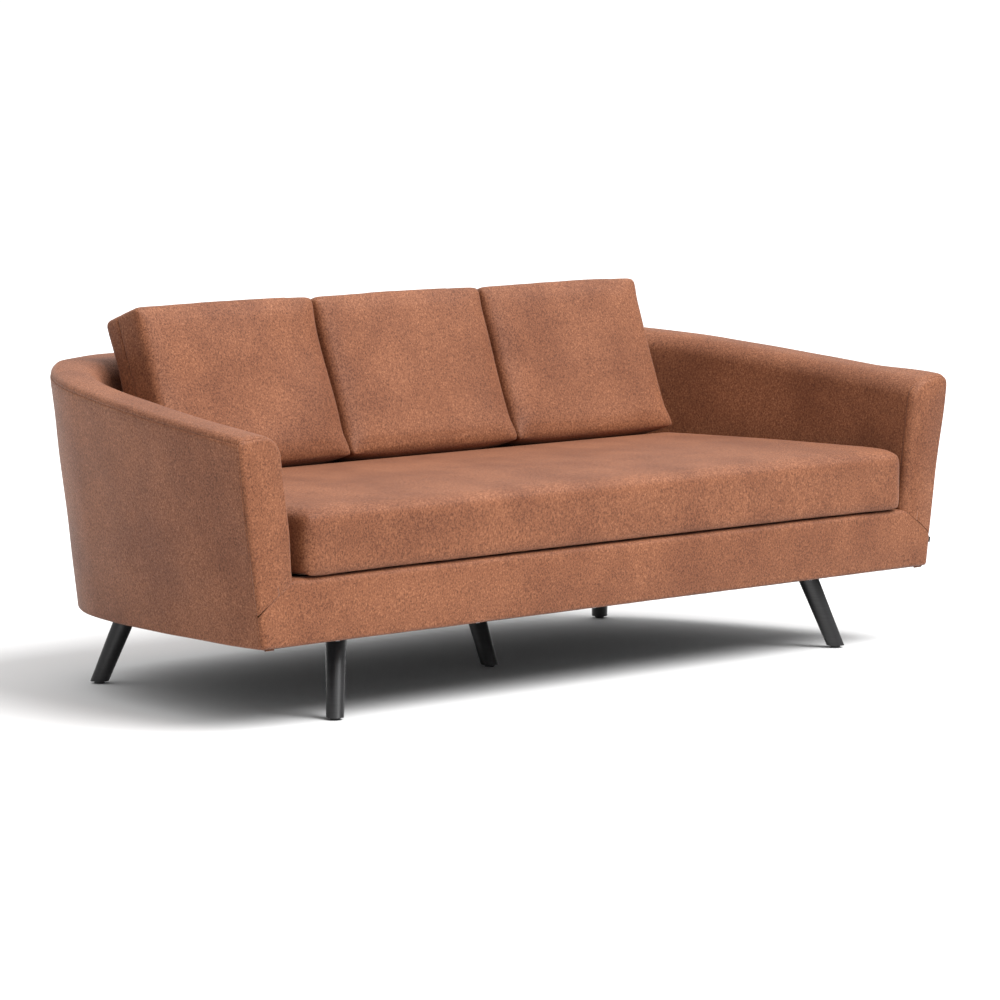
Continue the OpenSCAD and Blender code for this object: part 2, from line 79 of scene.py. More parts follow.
# Edge radii and seams of the upholstery
OUTER_TOP_R = 0.018
OUTER_TOP_R_FRONT = 0.028
INNER_ROLL_R = 0.042
TOP_CROWN = 0.0015
SEAM_DROP = 0.015
BOTTOM_R = 0.007
TUCK = 0.030
OUTER_EDGE_R = 0.009
TOP_EDGE_R = 0.016
INNER_EDGE_R = {1: 0.020, -1: 0.010}
INNER_FOOT_R = 0.022
INNER_BOTTOM_Z = 0.300
LIP_R = 0.014
LIP_TOP_Z = 0.300
LIP_DEPTH = 0.049
MITRE_R = 0.0035
MITRE_DEPTH = 0.014
COVER_T = 0.0012
SWELL = 0.0035


def heading(t):
    """Plan heading of the outer face at a distance along it from the front."""
    if t <= SIDE_LENGTH:
        return t / SIDE_R
    return min(pi / 2, SIDE_ANGLE + (t - SIDE_LENGTH) / CORNER_R)


def arc_of(t):
    """Centre and radius of the plan's arc at a distance along the outer face."""
    if t <= SIDE_LENGTH:
        return SIDE_CX, 0.0, SIDE_R
    return CORNER_CX, CORNER_CY, CORNER_R


def back_share(t):
    """1 up to the end of the corner, then down to 0 at the middle of the back."""
    return 1.0 - max(0.0, t - ARM_LENGTH) / CORNER_CX


def rim_z(t):
    _, cy, r = arc_of(t)
    y = cy + r * sin(heading(t))
    return RIM_FRONT_Z + (RIM_BACK_Z - RIM_FRONT_Z) * min(1.0, y / RIM_RISE)


def outer_x(z):
    return BASE_HALF_W + FLARE * (z - BASE_Z)


def arc_x(t, radius, z):
    """X of a point on the plan's arc, drawn in to the middle along the straight back."""
    h = heading(t)
    return ((arc_of(t)[0] + FLARE * (z - BASE_Z)) + radius * cos(h)) * back_share(t)


def outer_point(t, d, z):
    """A point set in by d from the shell's outer face, whose padding swells towards the front."""
    _, cy, r = arc_of(t)
    d = d - SWELL * exp(-t / 0.30)
    return Vector((arc_x(t, r - d, z), FRONT_Y + cy + (r - d) * sin(heading(t)), z))


def soft_min(a, b, blend=CORNER_BLEND):
    h = max(blend - abs(a - b), 0.0) / blend
    return min(a, b) - h * h * blend / 4


def inner_point(t, c, z, z_new=None):
    """A point set back by c from the shell's inner face at height z, brought up to height z_new."""
    z_new = z if z_new is None else z_new
    _, cy, r = arc_of(t)
    back_t = ARM_T + BACK_EXTRA_T + (RIM_BACK_Z - z) * BACK_LEAN
    y = soft_min(cy + (r - ARM_T + c) * sin(heading(t)), DEPTH - back_t + c)
    return Vector((arc_x(t, r - ARM_T + c, z_new), FRONT_Y + y, z_new))


def mix(a, b, w):
    return a + (b - a) * w


def ease(x):
    x = min(1.0, max(0.0, x))
    return x * x * (3 - 2 * x)


# ---- mesh helpers
SEAM_ROWS = [0.0, 0.0009, 0.0020, 0.0036, 0.0058, 0.0090]


def spaced(length, step, fine_start=True, fine_end=True):
    """Distances from 0 to length, about step apart, closer at an end that carries a seam."""
    start = SEAM_ROWS if fine_start else [0.0]
    end = [length - d for d in reversed(SEAM_ROWS)] if fine_end else [length]
    n = max(1, int(round((end[0] - start[-1]) / step)))
    return start + [start[-1] + (end[0] - start[-1]) * i / n for i in range(1, n)] + end


def grid_normals(p):
    n = np.cross(np.gradient(p, axis=0), np.gradient(p, axis=1))
    return n / np.maximum(np.linalg.norm(n, axis=2, keepdims=True), 1e-12)


def edge_distance(p, axis, end):
    """Distance of every grid point from one edge, along the grid lines."""
    way = -1 if end else 1
    q = np.moveaxis(p, axis, 0)[::way]
    step = np.linalg.norm(np.diff(q, axis=0), axis=2)
    d = np.concatenate([np.zeros((1,) + step.shape[1:]), np.cumsum(step, axis=0)])
    return np.moveaxis(d[::way], 0, axis)


def seam_edges(p, normals, edges):
    """Pulls a panel's edges in to its seams and turns them in. edges lists (axis, end, depth)."""
    q = p.copy()
    for axis, end, depth in edges:
        d = edge_distance(p, axis, end)
        dip = depth * (0.55 * np.exp(-d / 0.0016) + 0.45 * np.exp(-d / 0.0070))
        q -= normals * dip[..., None]
    for axis, end, _ in edges:
        place = [-1 if end else 0]
        line, way = np.take(q, place, axis=axis), np.take(normals, place, axis=axis)
        turned = line - way * 0.003
        q = np.concatenate([q, turned] if end else [turned, q], axis=axis)
        normals = np.concatenate([normals, way] if end else [way, normals], axis=axis)
    return q


def add_object(name, data):
    obj = bpy.data.objects.new(name, data)
    bpy.context.scene.collection.objects.link(obj)
    return obj


def shade(mesh, smooth=True):
    mesh.polygons.foreach_set("use_smooth", [smooth] * len(mesh.polygons))


def mesh_object(name, verts, faces):
    mesh = bpy.data.meshes.new(name)
    mesh.from_pydata([tuple(v) for v in verts], [], [tuple(f) for f in faces])
    mesh.validate()
    shade(mesh)
    return add_object(name, mesh)


def bm_object(name, bm):
    mesh = bpy.data.meshes.new(name)
    bm.to_mesh(mesh)
    bm.free()
    shade(mesh)
    return add_object(name, mesh)


def grid_faces(n, m):
    """Faces of a grid of n rows of m points."""
    return [
        (i * m + j, (i + 1) * m + j, (i + 1) * m + j + 1, i * m + j + 1)
        for i in range(n - 1)
        for j in range(m - 1)
    ]


def grid_object(name, rows):
    return mesh_object(name, [p for row in rows for p in row], grid_faces(len(rows), len(rows[0])))


def ring_faces(n, m, closed=False):
    """Faces between n rings of m points. closed joins the last ring to the first."""
    return [
        (i * m + j, i * m + (j + 1) % m, (i + 1) % n * m + (j + 1) % m, (i + 1) % n * m + j)
        for i in range(n if closed else n - 1)
        for j in range(m)
    ]


def wrinkle(p, normals, amount, scale, seed):
    """Moves the points of a grid along its normals by slow noise."""
    shift = [noise.noise(Vector(v) * scale + Vector((seed, 0, 0))) for v in p.reshape(-1, 3)]
    return p + normals * (amount * np.array(shift)).reshape(p.shape[:2])[..., None]


def add_modifier(obj, kind, **settings):
    mod = obj.modifiers.new(kind.lower(), kind)
    for key, value in settings.items():
        setattr(mod, key, value)
    return mod


def add_thickness(obj, amount):
    add_modifier(obj, "SOLIDIFY", thickness=amount, offset=-1)


def clean_mesh(obj):
    bm = bmesh.new()
    bm.from_mesh(obj.data)
    bmesh.ops.remove_doubles(bm, verts=bm.verts, dist=2e-5)
    bmesh.ops.dissolve_degenerate(bm, edges=bm.edges, dist=1e-6)
    bm.to_mesh(obj.data)
    bm.free()
    shade(obj.data)


def panel(name, points, side, edges, seed=0.0, puff=0.0010):
    """An upholstery panel from rows of points on the right-hand side, facing outwards."""
    p = np.array([[tuple(v) for v in row] for row in points])
    normals = grid_normals(p)
    p = wrinkle(p, normals, puff, 7.0, seed + side * 3.7)
    p = seam_edges(p, normals, edges)
    if side < 0:
        p = p[::-1] * np.array([-1.0, 1.0, 1.0])
    obj = grid_object(name, p)
    clean_mesh(obj)
    add_thickness(obj, COVER_T)
    return obj


# ---- sections of the shell's skin
def outer_top_r(t):
    return OUTER_TOP_R + (OUTER_TOP_R_FRONT - OUTER_TOP_R) * exp(-t / 0.08)


def seam_angle(t):
    """Angle on the outer top edge's arc where the top panel meets the side panel."""
    r = outer_top_r(t)
    return asin((r - SEAM_DROP + TOP_CROWN) / r)


def outer_arc_point(t, a):
    r = outer_top_r(t)
    return outer_point(t, r * (1 - cos(a)), rim_z(t) - TOP_CROWN - r + r * sin(a))


def inside_section(t, s):
    """Point of the top and inner skin at t. s runs 0..1 over the outer edge's arc, 1..2 over the
    top, 2..3 round the inner roll and 3..4 down the inner face."""
    z_flat = rim_z(t) - TOP_CROWN
    z_roll = z_flat - INNER_ROLL_R
    if s <= 1:
        return outer_arc_point(t, mix(seam_angle(t), pi / 2, s))
    if s <= 2:
        a = outer_point(t, outer_top_r(t), z_flat)
        b = inner_point(t, INNER_ROLL_R, z_roll, z_flat)
        p = mix(a, b, s - 1)
        p.z += TOP_CROWN * sin(pi * (s - 1))
        return p
    if s <= 3:
        a = pi / 2 * (3 - s)
        return inner_point(t, INNER_ROLL_R * (1 - cos(a)), z_roll, z_roll + INNER_ROLL_R * sin(a))
    return inner_point(t, 0, mix(z_roll, INNER_BOTTOM_Z, s - 3))


def outside_height(t, v):
    """Height up the outer face, v from 0 over the bottom edge to 1 under the top arc."""
    return mix(BASE_Z + BOTTOM_R, rim_z(t) - TOP_CROWN - outer_top_r(t), v)


def outside_section(t, s):
    """Point of the outer skin at t. s runs -2..-1 under the base, -1..0 round the bottom edge,
    0..1 up the face and 1..2 on the arc to the seam."""
    if s <= -1:
        return outer_point(t, BOTTOM_R + TUCK * (-1 - s), BASE_Z)
    if s <= 0:
        a = -s * pi / 2
        return outer_point(t, BOTTOM_R * (1 - cos(a)), BASE_Z + BOTTOM_R * (1 - sin(a)))
    if s <= 1:
        return outer_point(t, 0, outside_height(t, s))
    return outer_arc_point(t, mix(0, seam_angle(t), s - 1))


def inward_way(section, t, s):
    """Unit vector into the padding, across the section at t."""
    step = 0.02
    low, high = (0.0, 4.0) if section is inside_section else (-2.0, 2.0)
    run = section(t, min(high, s + step)) - section(t, max(low, s - step))
    return Vector((-run.z, 0, run.x)).normalized()


INSIDE_S = sorted(
    [i / 9 for i in range(9)]
    + [1 + i / 10 for i in range(10)]
    + [2 + i / 14 for i in range(14)]
    + [3 + i / 26 for i in range(27)]
    + [0.03, 0.07, 3.985]
)
OUTSIDE_S = (
    [-2, -1.5, -1]
    + [-1 + i / 6 for i in range(1, 6)]
    + [i / 36 for i in range(36)]
    + [1, 1.2, 1.4, 1.55, 1.7, 1.8, 1.88, 1.94, 1.98, 2]
)


def front_roll_r(s, side):
    """Radius of the roll from the top or inner skin onto the arm's front."""
    inner_r = INNER_EDGE_R[side]
    if s <= 1:
        return mix(OUTER_EDGE_R, TOP_EDGE_R, ease(s))
    if s <= 3:
        return mix(TOP_EDGE_R, inner_r, ease((s - 1) / 2))
    return mix(inner_r, INNER_FOOT_R, ease((s - 3.55) / 0.45))


def front_seam_angle(s):
    """How far over the front roll the top skin comes before its seam."""
    return mix(0.04, radians(52), ease((s + 0.1) / 0.9) * (1 - ease((s - 1.7) / 1.1)))


def roll_point(section, t0, s, r, a):
    """A point on the roll onto the front, at angle a from the side skin."""
    t = t0 + r * (1 - sin(a))
    return section(t, s) + inward_way(section, 0.0, s) * (r * (1 - cos(a)))


# Seam edges of the skins as (grid axis, end, depth)
INSIDE_EDGES = [(1, 0, 0.0026), (0, 0, 0.0012), (0, 1, 0.0012)]
SKIN_STEP = 0.012


def inside_arm(side):
    rolls = [(s, front_roll_r(s, side)) for s in INSIDE_S]
    rows = [
        [roll_point(inside_section, 0, s, r, front_seam_angle(s) * (1 - k / 6)) for s, r in rolls]
        for k in range(6)
    ]
    for w in spaced(ARM_LENGTH, SKIN_STEP, fine_start=False):
        rows.append([inside_section(mix(r, ARM_LENGTH, w / ARM_LENGTH), s) for s, r in rolls])
    name = "inside_arm_skin_" + SIDE_NAMES[side]
    return panel(name, rows, side, INSIDE_EDGES, seed=11.0, puff=0.0016)


def outside_arm(side):
    stations = [OUTER_EDGE_R + w for w in spaced(ARM_LENGTH - OUTER_EDGE_R, SKIN_STEP)]
    rows = [[outside_section(t, s) for s in OUTSIDE_S] for t in stations]
    edges = [(1, 1, 0.0022), (0, 0, 0.0006), (0, 1, 0.0012)]
    return panel("outside_arm_skin_" + SIDE_NAMES[side], rows, side, edges, seed=5.0, puff=0.0020)


def mirrored(rows):
    """The rows of the other side, in reverse order."""
    return [[Vector((-p.x, p.y, p.z)) for p in row] for row in reversed(rows)]


def across_back(section, columns):
    """Rows from the right end of the straight back to its left end."""
    stations = [ARM_LENGTH + w for w in spaced(CORNER_CX, SKIN_STEP, fine_end=False)]
    right = [[section(t, s) for s in columns] for t in stations]
    return right + mirrored(right[:-1])


def inside_back():
    rows = across_back(inside_section, INSIDE_S)
    return panel("inside_back_skin", rows, 1, INSIDE_EDGES, seed=17.0)


def outside_back():
    rows = across_back(outside_section, OUTSIDE_S)
    edges = [(1, 1, 0.0022), (0, 0, 0.0012), (0, 1, 0.0012)]
    return panel("outside_back_skin", rows, 1, edges, seed=23.0, puff=0.0020)


# ---- arm fronts and border
INNER_X = outer_x(LIP_TOP_Z) - ARM_T
MITRE_START_Z = 0.301
HEAD_Z = RIM_FRONT_Z - 0.056
FRONT_BULGE = 0.0035


def mitre_z(x):
    u = max(0.0, x - INNER_X)
    return MITRE_START_Z - 0.5 * u - 2.0 * u * u


MITRE_OUTER_Z = 0.24
for _ in range(8):
    MITRE_OUTER_Z = mitre_z(outer_x(MITRE_OUTER_Z))


def outside_s_at(z):
    """The outer section's parameter at a height on the arm's front end."""
    low, high = outside_height(0.0, 0), outside_height(0.0, 1)
    return (z - low) / (high - low)


def inside_s_at(z):
    z_roll = rim_z(0.0) - TOP_CROWN - INNER_ROLL_R
    return 3 + (z_roll - z) / (z_roll - INNER_BOTTOM_Z)


def front_outline():
    """The arm front's outline from the outer foot over the top to the inner foot: section,
    parameter on it, and share of the way up."""
    legs = [0, 0.004, 0.009, 0.016, 0.026, 0.04] + [0.04 + 0.96 * i / 20 for i in range(1, 20)]
    outline = [(outside_section, outside_s_at(mix(MITRE_OUTER_Z, HEAD_Z, q)), q) for q in legs]
    first, last = outside_s_at(HEAD_Z), inside_s_at(HEAD_Z)
    outline += [(outside_section, mix(first, 1, i / 3), 1) for i in range(3)]
    outline += [(outside_section, s, 1) for s in OUTSIDE_S if s >= 1 and s < 2]
    outline += [(inside_section, s, 1) for s in INSIDE_S if s < last - 0.02]
    for q in [1] + legs[::-1]:
        outline.append((inside_section, inside_s_at(mix(INNER_BOTTOM_Z, HEAD_Z, q)), q))
    return outline


def arm_front(side):
    foot_x = (INNER_X + outer_x(MITRE_OUTER_Z)) / 2
    foot = Vector((foot_x, FRONT_Y, mitre_z(foot_x)))
    head = Vector((outer_x(HEAD_Z) - ARM_T / 2, FRONT_Y, HEAD_Z))
    rows = []
    for section, s, q in front_outline():
        is_outer = section is outside_section
        r = OUTER_EDGE_R if is_outer else front_roll_r(s, side)
        start = 0.0 if is_outer else front_seam_angle(s)
        skew = (1 - ease(q / 0.45)) * (0.85 if is_outer else -0.52)
        centre = mix(foot, head, q)
        row = []
        for k in range(9):
            a = mix(start, pi / 2, k / 8)
            p = roll_point(section, 0, s, r, a)
            p.z += skew * r * (1 - cos(a))
            row.append(p)
        flat_start = row[-1]
        for w in (k / 7 for k in range(1, 8)):
            p = mix(flat_start, centre, w)
            p.y = FRONT_Y - FRONT_BULGE * (1 - (1 - w) ** 2)
            row.append(p)
        rows.append(row)
    edges = [(1, 0, 0.0008), (0, 0, 0.0012), (0, 1, 0.0010)]
    return panel("arm_front_skin_" + SIDE_NAMES[side], rows, side, edges, seed=31.0, puff=0.0006)


def lip_end(x):
    """0 along the border's top edge, 1 on the mitre."""
    return ease((x - INNER_X + 0.014) / 0.036)


def lip_top(x):
    """Height of the border's rolled top edge: level, then down along the mitre."""
    return soft_min(LIP_TOP_Z, mitre_z(x) + 0.0006, 0.006)


def border_column(g, a):
    """One column of the border, up and back over its top edge. g is its place across the flat
    face, and a its angle on the roll round to the side, or None on the flat face."""
    r = OUTER_EDGE_R

    def place(z, inset):
        if a is None:
            x = g * (outer_x(z) - r)
            return Vector((x, FRONT_Y - 0.0030 * sin(pi * min(1, (z - BASE_Z) / 0.128)) + inset, z))
        way = Vector((cos(a), -sin(a), 0))
        return outer_point(r * (1 - sin(a)), r * (1 - cos(a)), z) - way * inset

    z_top = LIP_TOP_Z
    for _ in range(8):
        x = place(z_top, 0).x
        z_top = lip_top(x)
    roll = mix(LIP_R, MITRE_R, lip_end(x))
    z_high = z_top - roll
    depth = mix(LIP_DEPTH, MITRE_DEPTH, lip_end(x))
    column = [place(BASE_Z, BOTTOM_R + TUCK * w) for w in (1, 0.5, 0.2)]
    for k in range(7):
        b = pi / 2 * (1 - k / 6)
        column.append(place(BASE_Z + BOTTOM_R * (1 - sin(b)), BOTTOM_R * (1 - cos(b))))
    for w in [i / 16 for i in range(1, 15)] + [0.92, 0.96, 1]:
        column.append(place(mix(BASE_Z + BOTTOM_R, z_high, w), 0))
    for k in range(1, 8):
        b = pi / 2 * k / 7
        column.append(place(z_high + roll * sin(b), roll * (1 - cos(b))))
    for w in (0.15, 0.4, 0.7, 1):
        column.append(place(z_top, mix(roll, depth, w)))
    return column


BORDER_COLUMNS = 110


def border():
    right = [border_column(1, radians(90 * i / 8)) for i in range(8)]
    for i in range(BORDER_COLUMNS + 1):
        right.append(border_column(1 - (i / BORDER_COLUMNS) ** 1.5, None))
    face = list(reversed(right + mirrored(right[:-1])))
    return panel("front_border_skin", face, 1, [(0, 0, 0.0006), (0, 1, 0.0006)], seed=41.0)


# ---- materials
def new_material(name):
    mat = bpy.data.materials.new(name)
    mat.use_nodes = True
    tree = mat.node_tree
    shader = tree.nodes["Principled BSDF"]
    return mat, tree, shader


def as_colour(c):
    """Linear RGBA from a grey value, 0 to 1, or an sRGB colour, 0 to 255. RGBA stays as it is."""
    if isinstance(c, float):
        return (c, c, c, 1.0)
    if len(c) == 4:
        return c
    c = [v / 255 for v in c]
    return tuple(v / 12.92 if v <= 0.04045 else ((v + 0.055) / 1.055) ** 2.4 for v in c) + (1.0,)


def darker(colour, share):
    return tuple(v * share for v in as_colour(colour)[:3]) + (1.0,)


def plug(tree, socket, value):
    """Links an input to a source, or sets its value."""
    if isinstance(value, bpy.types.NodeSocket):
        tree.links.new(value, socket)
    else:
        socket.default_value = as_colour(value) if socket.type == "RGBA" else value


def feed(tree, target, **inputs):
    for key, value in inputs.items():
        plug(tree, target.inputs[key.replace("_", " ")], value)


def node(tree, kind, **inputs):
    n = tree.nodes.new("ShaderNode" + kind)
    feed(tree, n, **inputs)
    return n


def ramp(tree, source, stops):
    n = node(tree, "ValToRGB", Fac=source)
    while len(n.color_ramp.elements) < len(stops):
        n.color_ramp.elements.new(0.5)
    for element, (place, colour) in zip(n.color_ramp.elements, stops):
        element.position = place
        element.color = as_colour(colour)
    return n.outputs["Color"]


def mix_colour(tree, kind, factor, a, b):
    n = node(tree, "Mix")
    n.data_type = "RGBA"
    n.blend_type = kind
    for place, value in ((0, factor), (6, a), (7, b)):
        plug(tree, n.inputs[place], value)
    return n.outputs[2]


def mapped(tree, scale=(1, 1, 1), move=(0, 0, 0)):
    """Object coordinates, scaled and moved."""
    coords = node(tree, "TexCoord")
    m = node(tree, "Mapping", Vector=coords.outputs["Object"], Scale=scale, Location=move)
    return m.outputs["Vector"]


def noise_texture(tree, vector, scale, detail=4.0, rough=0.5):
    return node(tree, "TexNoise", Vector=vector, Scale=scale, Detail=detail, Roughness=rough)


def noise_value(tree, vector, scale, detail=4.0, rough=0.55):
    return noise_texture(tree, vector, scale, detail, rough).outputs["Fac"]


def vector_math(tree, operation, a, b):
    n = node(tree, "VectorMath")
    n.operation = operation
    plug(tree, n.inputs[0], a)
    plug(tree, n.inputs[1], b)
    return n.outputs["Vector"]


def warped(tree, vector, amount, scale):
    """Coordinates pushed about by noise, so that cell edges wander like worm tracks."""
    colour = noise_texture(tree, vector, scale, 2.0).outputs["Color"]
    centred = vector_math(tree, "SUBTRACT", colour, (0.5, 0.5, 0.5))
    return vector_math(tree, "ADD", vector, vector_math(tree, "MULTIPLY", centred, (amount,) * 3))


def bump(tree, shader, height, strength, distance):
    n = node(tree, "Bump", Strength=strength, Distance=distance, Height=height)
    feed(tree, shader, Normal=n.outputs["Normal"])


def upholstery_material():
    """Brushed cognac suede, mottled by short dark strokes with fine crackle between them."""
    mat, tree, shader = new_material("upholstery")
    at = mapped(tree)
    strokes = mapped(tree, (1, 1, 0.80), (3, 1, 2))
    mottle = noise_value(tree, warped(tree, strokes, 0.0030, 220), 290, 3, 0.65)
    colour = ramp(tree, mottle, [
        (0.33, (98, 58, 36)), (0.43, (119, 72, 46)), (0.50, (132, 82, 54)),
        (0.58, (144, 92, 62)), (0.70, (164, 110, 78)),
    ])
    cells = node(tree, "TexVoronoi", Vector=warped(tree, at, 0.0030, 420), Scale=430)
    cells.feature = "DISTANCE_TO_EDGE"
    crack = ramp(tree, cells.outputs["Distance"], [(0.0, 0.0), (0.10, 0.6), (0.24, 1.0)])
    lined = mix_colour(tree, "MULTIPLY", 1.0, colour, (206, 196, 190))
    colour = mix_colour(tree, "MIX", crack, lined, colour)
    cloud = noise_value(tree, at, 6.5, 4)
    tone = ramp(tree, cloud, [(0.36, (224, 216, 210)), (0.62, (255, 255, 255))])
    feed(
        tree, shader,
        Base_Color=mix_colour(tree, "MULTIPLY", 1.0, colour, tone),
        Roughness=ramp(tree, mottle, [(0.35, 0.66), (0.65, 0.52)]),
        Specular_IOR_Level=0.25,
        Sheen_Weight=0.14,
        Sheen_Roughness=0.4,
        Sheen_Tint=(244, 222, 210),
    )
    bump(tree, shader, mix_colour(tree, "MULTIPLY", 0.5, crack, mottle), 0.35, 0.0006)
    return mat


def grain_material(name, light, dark, rough, scale=(4, 4, 60), coat=0.0):
    """Straight-grained wood, natural or lacquered."""
    mat, tree, shader = new_material(name)
    grain = noise_value(tree, mapped(tree, scale), 6, 6, 0.6)
    feed(
        tree, shader,
        Base_Color=ramp(tree, grain, [(0.35, dark), (0.62, light)]),
        Roughness=ramp(tree, grain, [(0.3, rough + 0.06), (0.7, rough - 0.04)]),
        Coat_Weight=coat,
        Coat_Roughness=0.25,
    )
    bump(tree, shader, grain, 0.15, 0.0005)
    return mat


def metal_material(name, colour, rough):
    mat, tree, shader = new_material(name)
    smear = noise_value(tree, mapped(tree), 120, 3)
    feed(
        tree, shader,
        Metallic=1.0,
        Roughness=ramp(tree, smear, [(0.3, rough - 0.08), (0.7, rough + 0.1)]),
        Base_Color=ramp(tree, smear, [(0.2, darker(colour, 0.82)), (0.7, colour)]),
    )
    return mat


def weave_material(name, light, dark, pitch, rough=0.85):
    """A plain woven cloth: warp and weft from two wave textures."""
    mat, tree, shader = new_material(name)
    at = mapped(tree)
    threads = []
    for axis in ("X", "Y"):
        n = node(tree, "TexWave", Vector=at, Scale=0.5 / pitch, Distortion=0.6, Detail=1.0)
        n.bands_direction = axis
        threads.append(n.outputs["Fac"])
    cross = mix_colour(tree, "DIFFERENCE", 1.0, *threads)
    colour = mix_colour(tree, "MIX", noise_value(tree, at, 300, 3), dark, light)
    colour = mix_colour(tree, "MULTIPLY", 0.35, colour, cross)
    feed(tree, shader, Base_Color=colour, Roughness=rough)
    bump(tree, shader, cross, 0.4, 0.0003)
    return mat


def pitted_material(name, light, dark, rough, scale, relief):
    """Foam or moulded plastic. relief is the strength and the distance of its bump."""
    mat, tree, shader = new_material(name)
    grain = noise_value(tree, mapped(tree), *scale)
    feed(tree, shader, Base_Color=ramp(tree, grain, [(0.3, dark), (0.7, light)]), Roughness=rough)
    bump(tree, shader, grain, *relief)
    return mat


UPHOLSTERY = upholstery_material()
LEG_WOOD = grain_material("leg_wood", (24, 23, 25), (12, 11, 12), 0.36, coat=0.3)
TIMBER = grain_material("timber", (214, 186, 140), (176, 140, 96), 0.6, scale=(3, 60, 60))
BOARD = grain_material("plywood", (206, 174, 128), (180, 146, 100), 0.65, scale=(3, 3, 90))
STEEL = metal_material("steel", (190, 192, 196), 0.34)
BRASS = metal_material("brass", (200, 168, 96), 0.3)
WEBBING = weave_material("webbing", (92, 92, 96), (58, 58, 62), 0.004)
LINING = weave_material("lining_cloth", (52, 52, 56), (34, 34, 37), 0.0016)
FOAM = pitted_material("foam", (240, 233, 206), (214, 204, 168), 0.95, (700, 3), (0.4, 0.0006))
GLIDE_COLOUR = (30, 30, 32)
GLIDE = pitted_material(
    "glide_plastic", GLIDE_COLOUR, darker(GLIDE_COLOUR, 0.85), 0.4, (500, 2), (0.12, 0.0002)
)
TAPE = weave_material("zip_tape", (104, 66, 46), (78, 48, 33), 0.0012)
TAB = weave_material("tab_cloth", (30, 30, 32), (18, 18, 20), 0.0012)


def finish_piece(obj, body, replaces=(), material=UPHOLSTERY):
    obj.data.materials.clear()
    obj.data.materials.append(material)
    if replaces:
        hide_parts(*replaces)
    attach(obj, body)
    return obj


# ---- soft cushions
FOAM_HOLD = 0.12
EVEN_PASSES = 24
SIM_FRAMES = 20
CLOTH = {
    "quality": 5, "mass": 0.3, "use_pressure": True, "uniform_pressure_force": 4.0,
    "tension_stiffness": 12.0, "compression_stiffness": 12.0, "shear_stiffness": 6.0,
    "bending_stiffness": 0.4,
}


def closed_mesh(name, rings):
    """A closed form through rings of equal length, with a fan at each end."""
    m = len(rings[0])
    verts = [p for ring in rings for p in ring]
    faces = ring_faces(len(rings), m)
    for i, ring in ((0, rings[0]), (len(rings) - 1, rings[-1])):
        centre = len(verts)
        verts.append(sum(ring, Vector()) / m)
        for j in range(m):
            face = (centre, i * m + (j + 1) % m, i * m + j)
            faces.append(face if i == 0 else face[::-1])
    return mesh_object(name, verts, faces)


def vertex_array(obj, what="co"):
    values = np.empty(len(obj.data.vertices) * 3)
    obj.data.vertices.foreach_get(what, values)
    return values.reshape(-1, 3)


def set_vertices(obj, co):
    obj.data.vertices.foreach_set("co", co.astype(np.float32).ravel())
    obj.data.update()


def bake_modifiers(obj):
    """Applies every modifier on a piece."""
    bpy.context.view_layer.update()
    graph = bpy.context.evaluated_depsgraph_get()
    mesh = bpy.data.meshes.new_from_object(obj.evaluated_get(graph))
    obj.modifiers.clear()
    obj.data = mesh
    shade(mesh)


def apply_modifier(obj, kind, **settings):
    add_modifier(obj, kind, **settings)
    bake_modifiers(obj)


def remesh(obj, size):
    apply_modifier(obj, "REMESH", mode="VOXEL", voxel_size=size, use_smooth_shade=True)
    apply_modifier(obj, "SMOOTH", factor=0.5, iterations=3)


def evened(obj, field):
    """A vector field on a piece's vertices, evened out over their neighbours."""
    ends = np.empty(len(obj.data.edges) * 2, dtype=np.int32)
    obj.data.edges.foreach_get("vertices", ends)
    a, b = ends[0::2], ends[1::2]
    n = len(field)
    count = (np.bincount(a, minlength=n) + np.bincount(b, minlength=n))[:, None]
    for _ in range(EVEN_PASSES):
        total = [np.bincount(a, f[b], n) + np.bincount(b, f[a], n) for f in field.T]
        field = (field + np.stack(total, axis=1) / count) / 2
    return field


def inflate(obj, cap):
    """Swells a piece as cloth under pressure. No point moves further than cap, and the foam inside
    holds the edges out: little of a move inwards or sideways is kept."""
    start, normals = vertex_array(obj), vertex_array(obj, "normal")
    mod = add_modifier(obj, "CLOTH")
    for key, value in CLOTH.items():
        setattr(mod.settings, key, value)
    mod.settings.effector_weights.gravity = 0
    mod.point_cache.frame_start = 1
    mod.point_cache.frame_end = SIM_FRAMES
    for f in range(1, SIM_FRAMES + 1):
        bpy.context.scene.frame_set(f)
    bake_modifiers(obj)
    bpy.context.scene.frame_set(1)
    move = vertex_array(obj) - start
    out = np.sum(move * normals, axis=1, keepdims=True)
    move = (move - normals * out) * FOAM_HOLD + normals * np.where(out > 0, out, out * FOAM_HOLD)
    length = np.linalg.norm(move, axis=1, keepdims=True)
    soft_cap = cap * np.tanh(length / cap) / np.maximum(length, 1e-9)
    set_vertices(obj, start + evened(obj, move * soft_cap))


def smooth_step(x, low, high):
    w = np.clip((x - low) / (high - low), 0, 1)
    return w * w * (3 - 2 * w)


GAP = 0.0012
SEAT_FLOOR_Z = deck_hi.z + GAP
SEAT_TOP_Z = seat_hi.z
PAD_FOOT_Z = SEAT_TOP_Z + GAP
# Plan of the shell's inside face at the seat cushion's foot, from the right front to the middle
PLAN_T = [HALF_LENGTH * i / 240 for i in range(241)]
PLAN = np.array([tuple(inner_point(t, 0, seat_lo.z)) for t in PLAN_T])


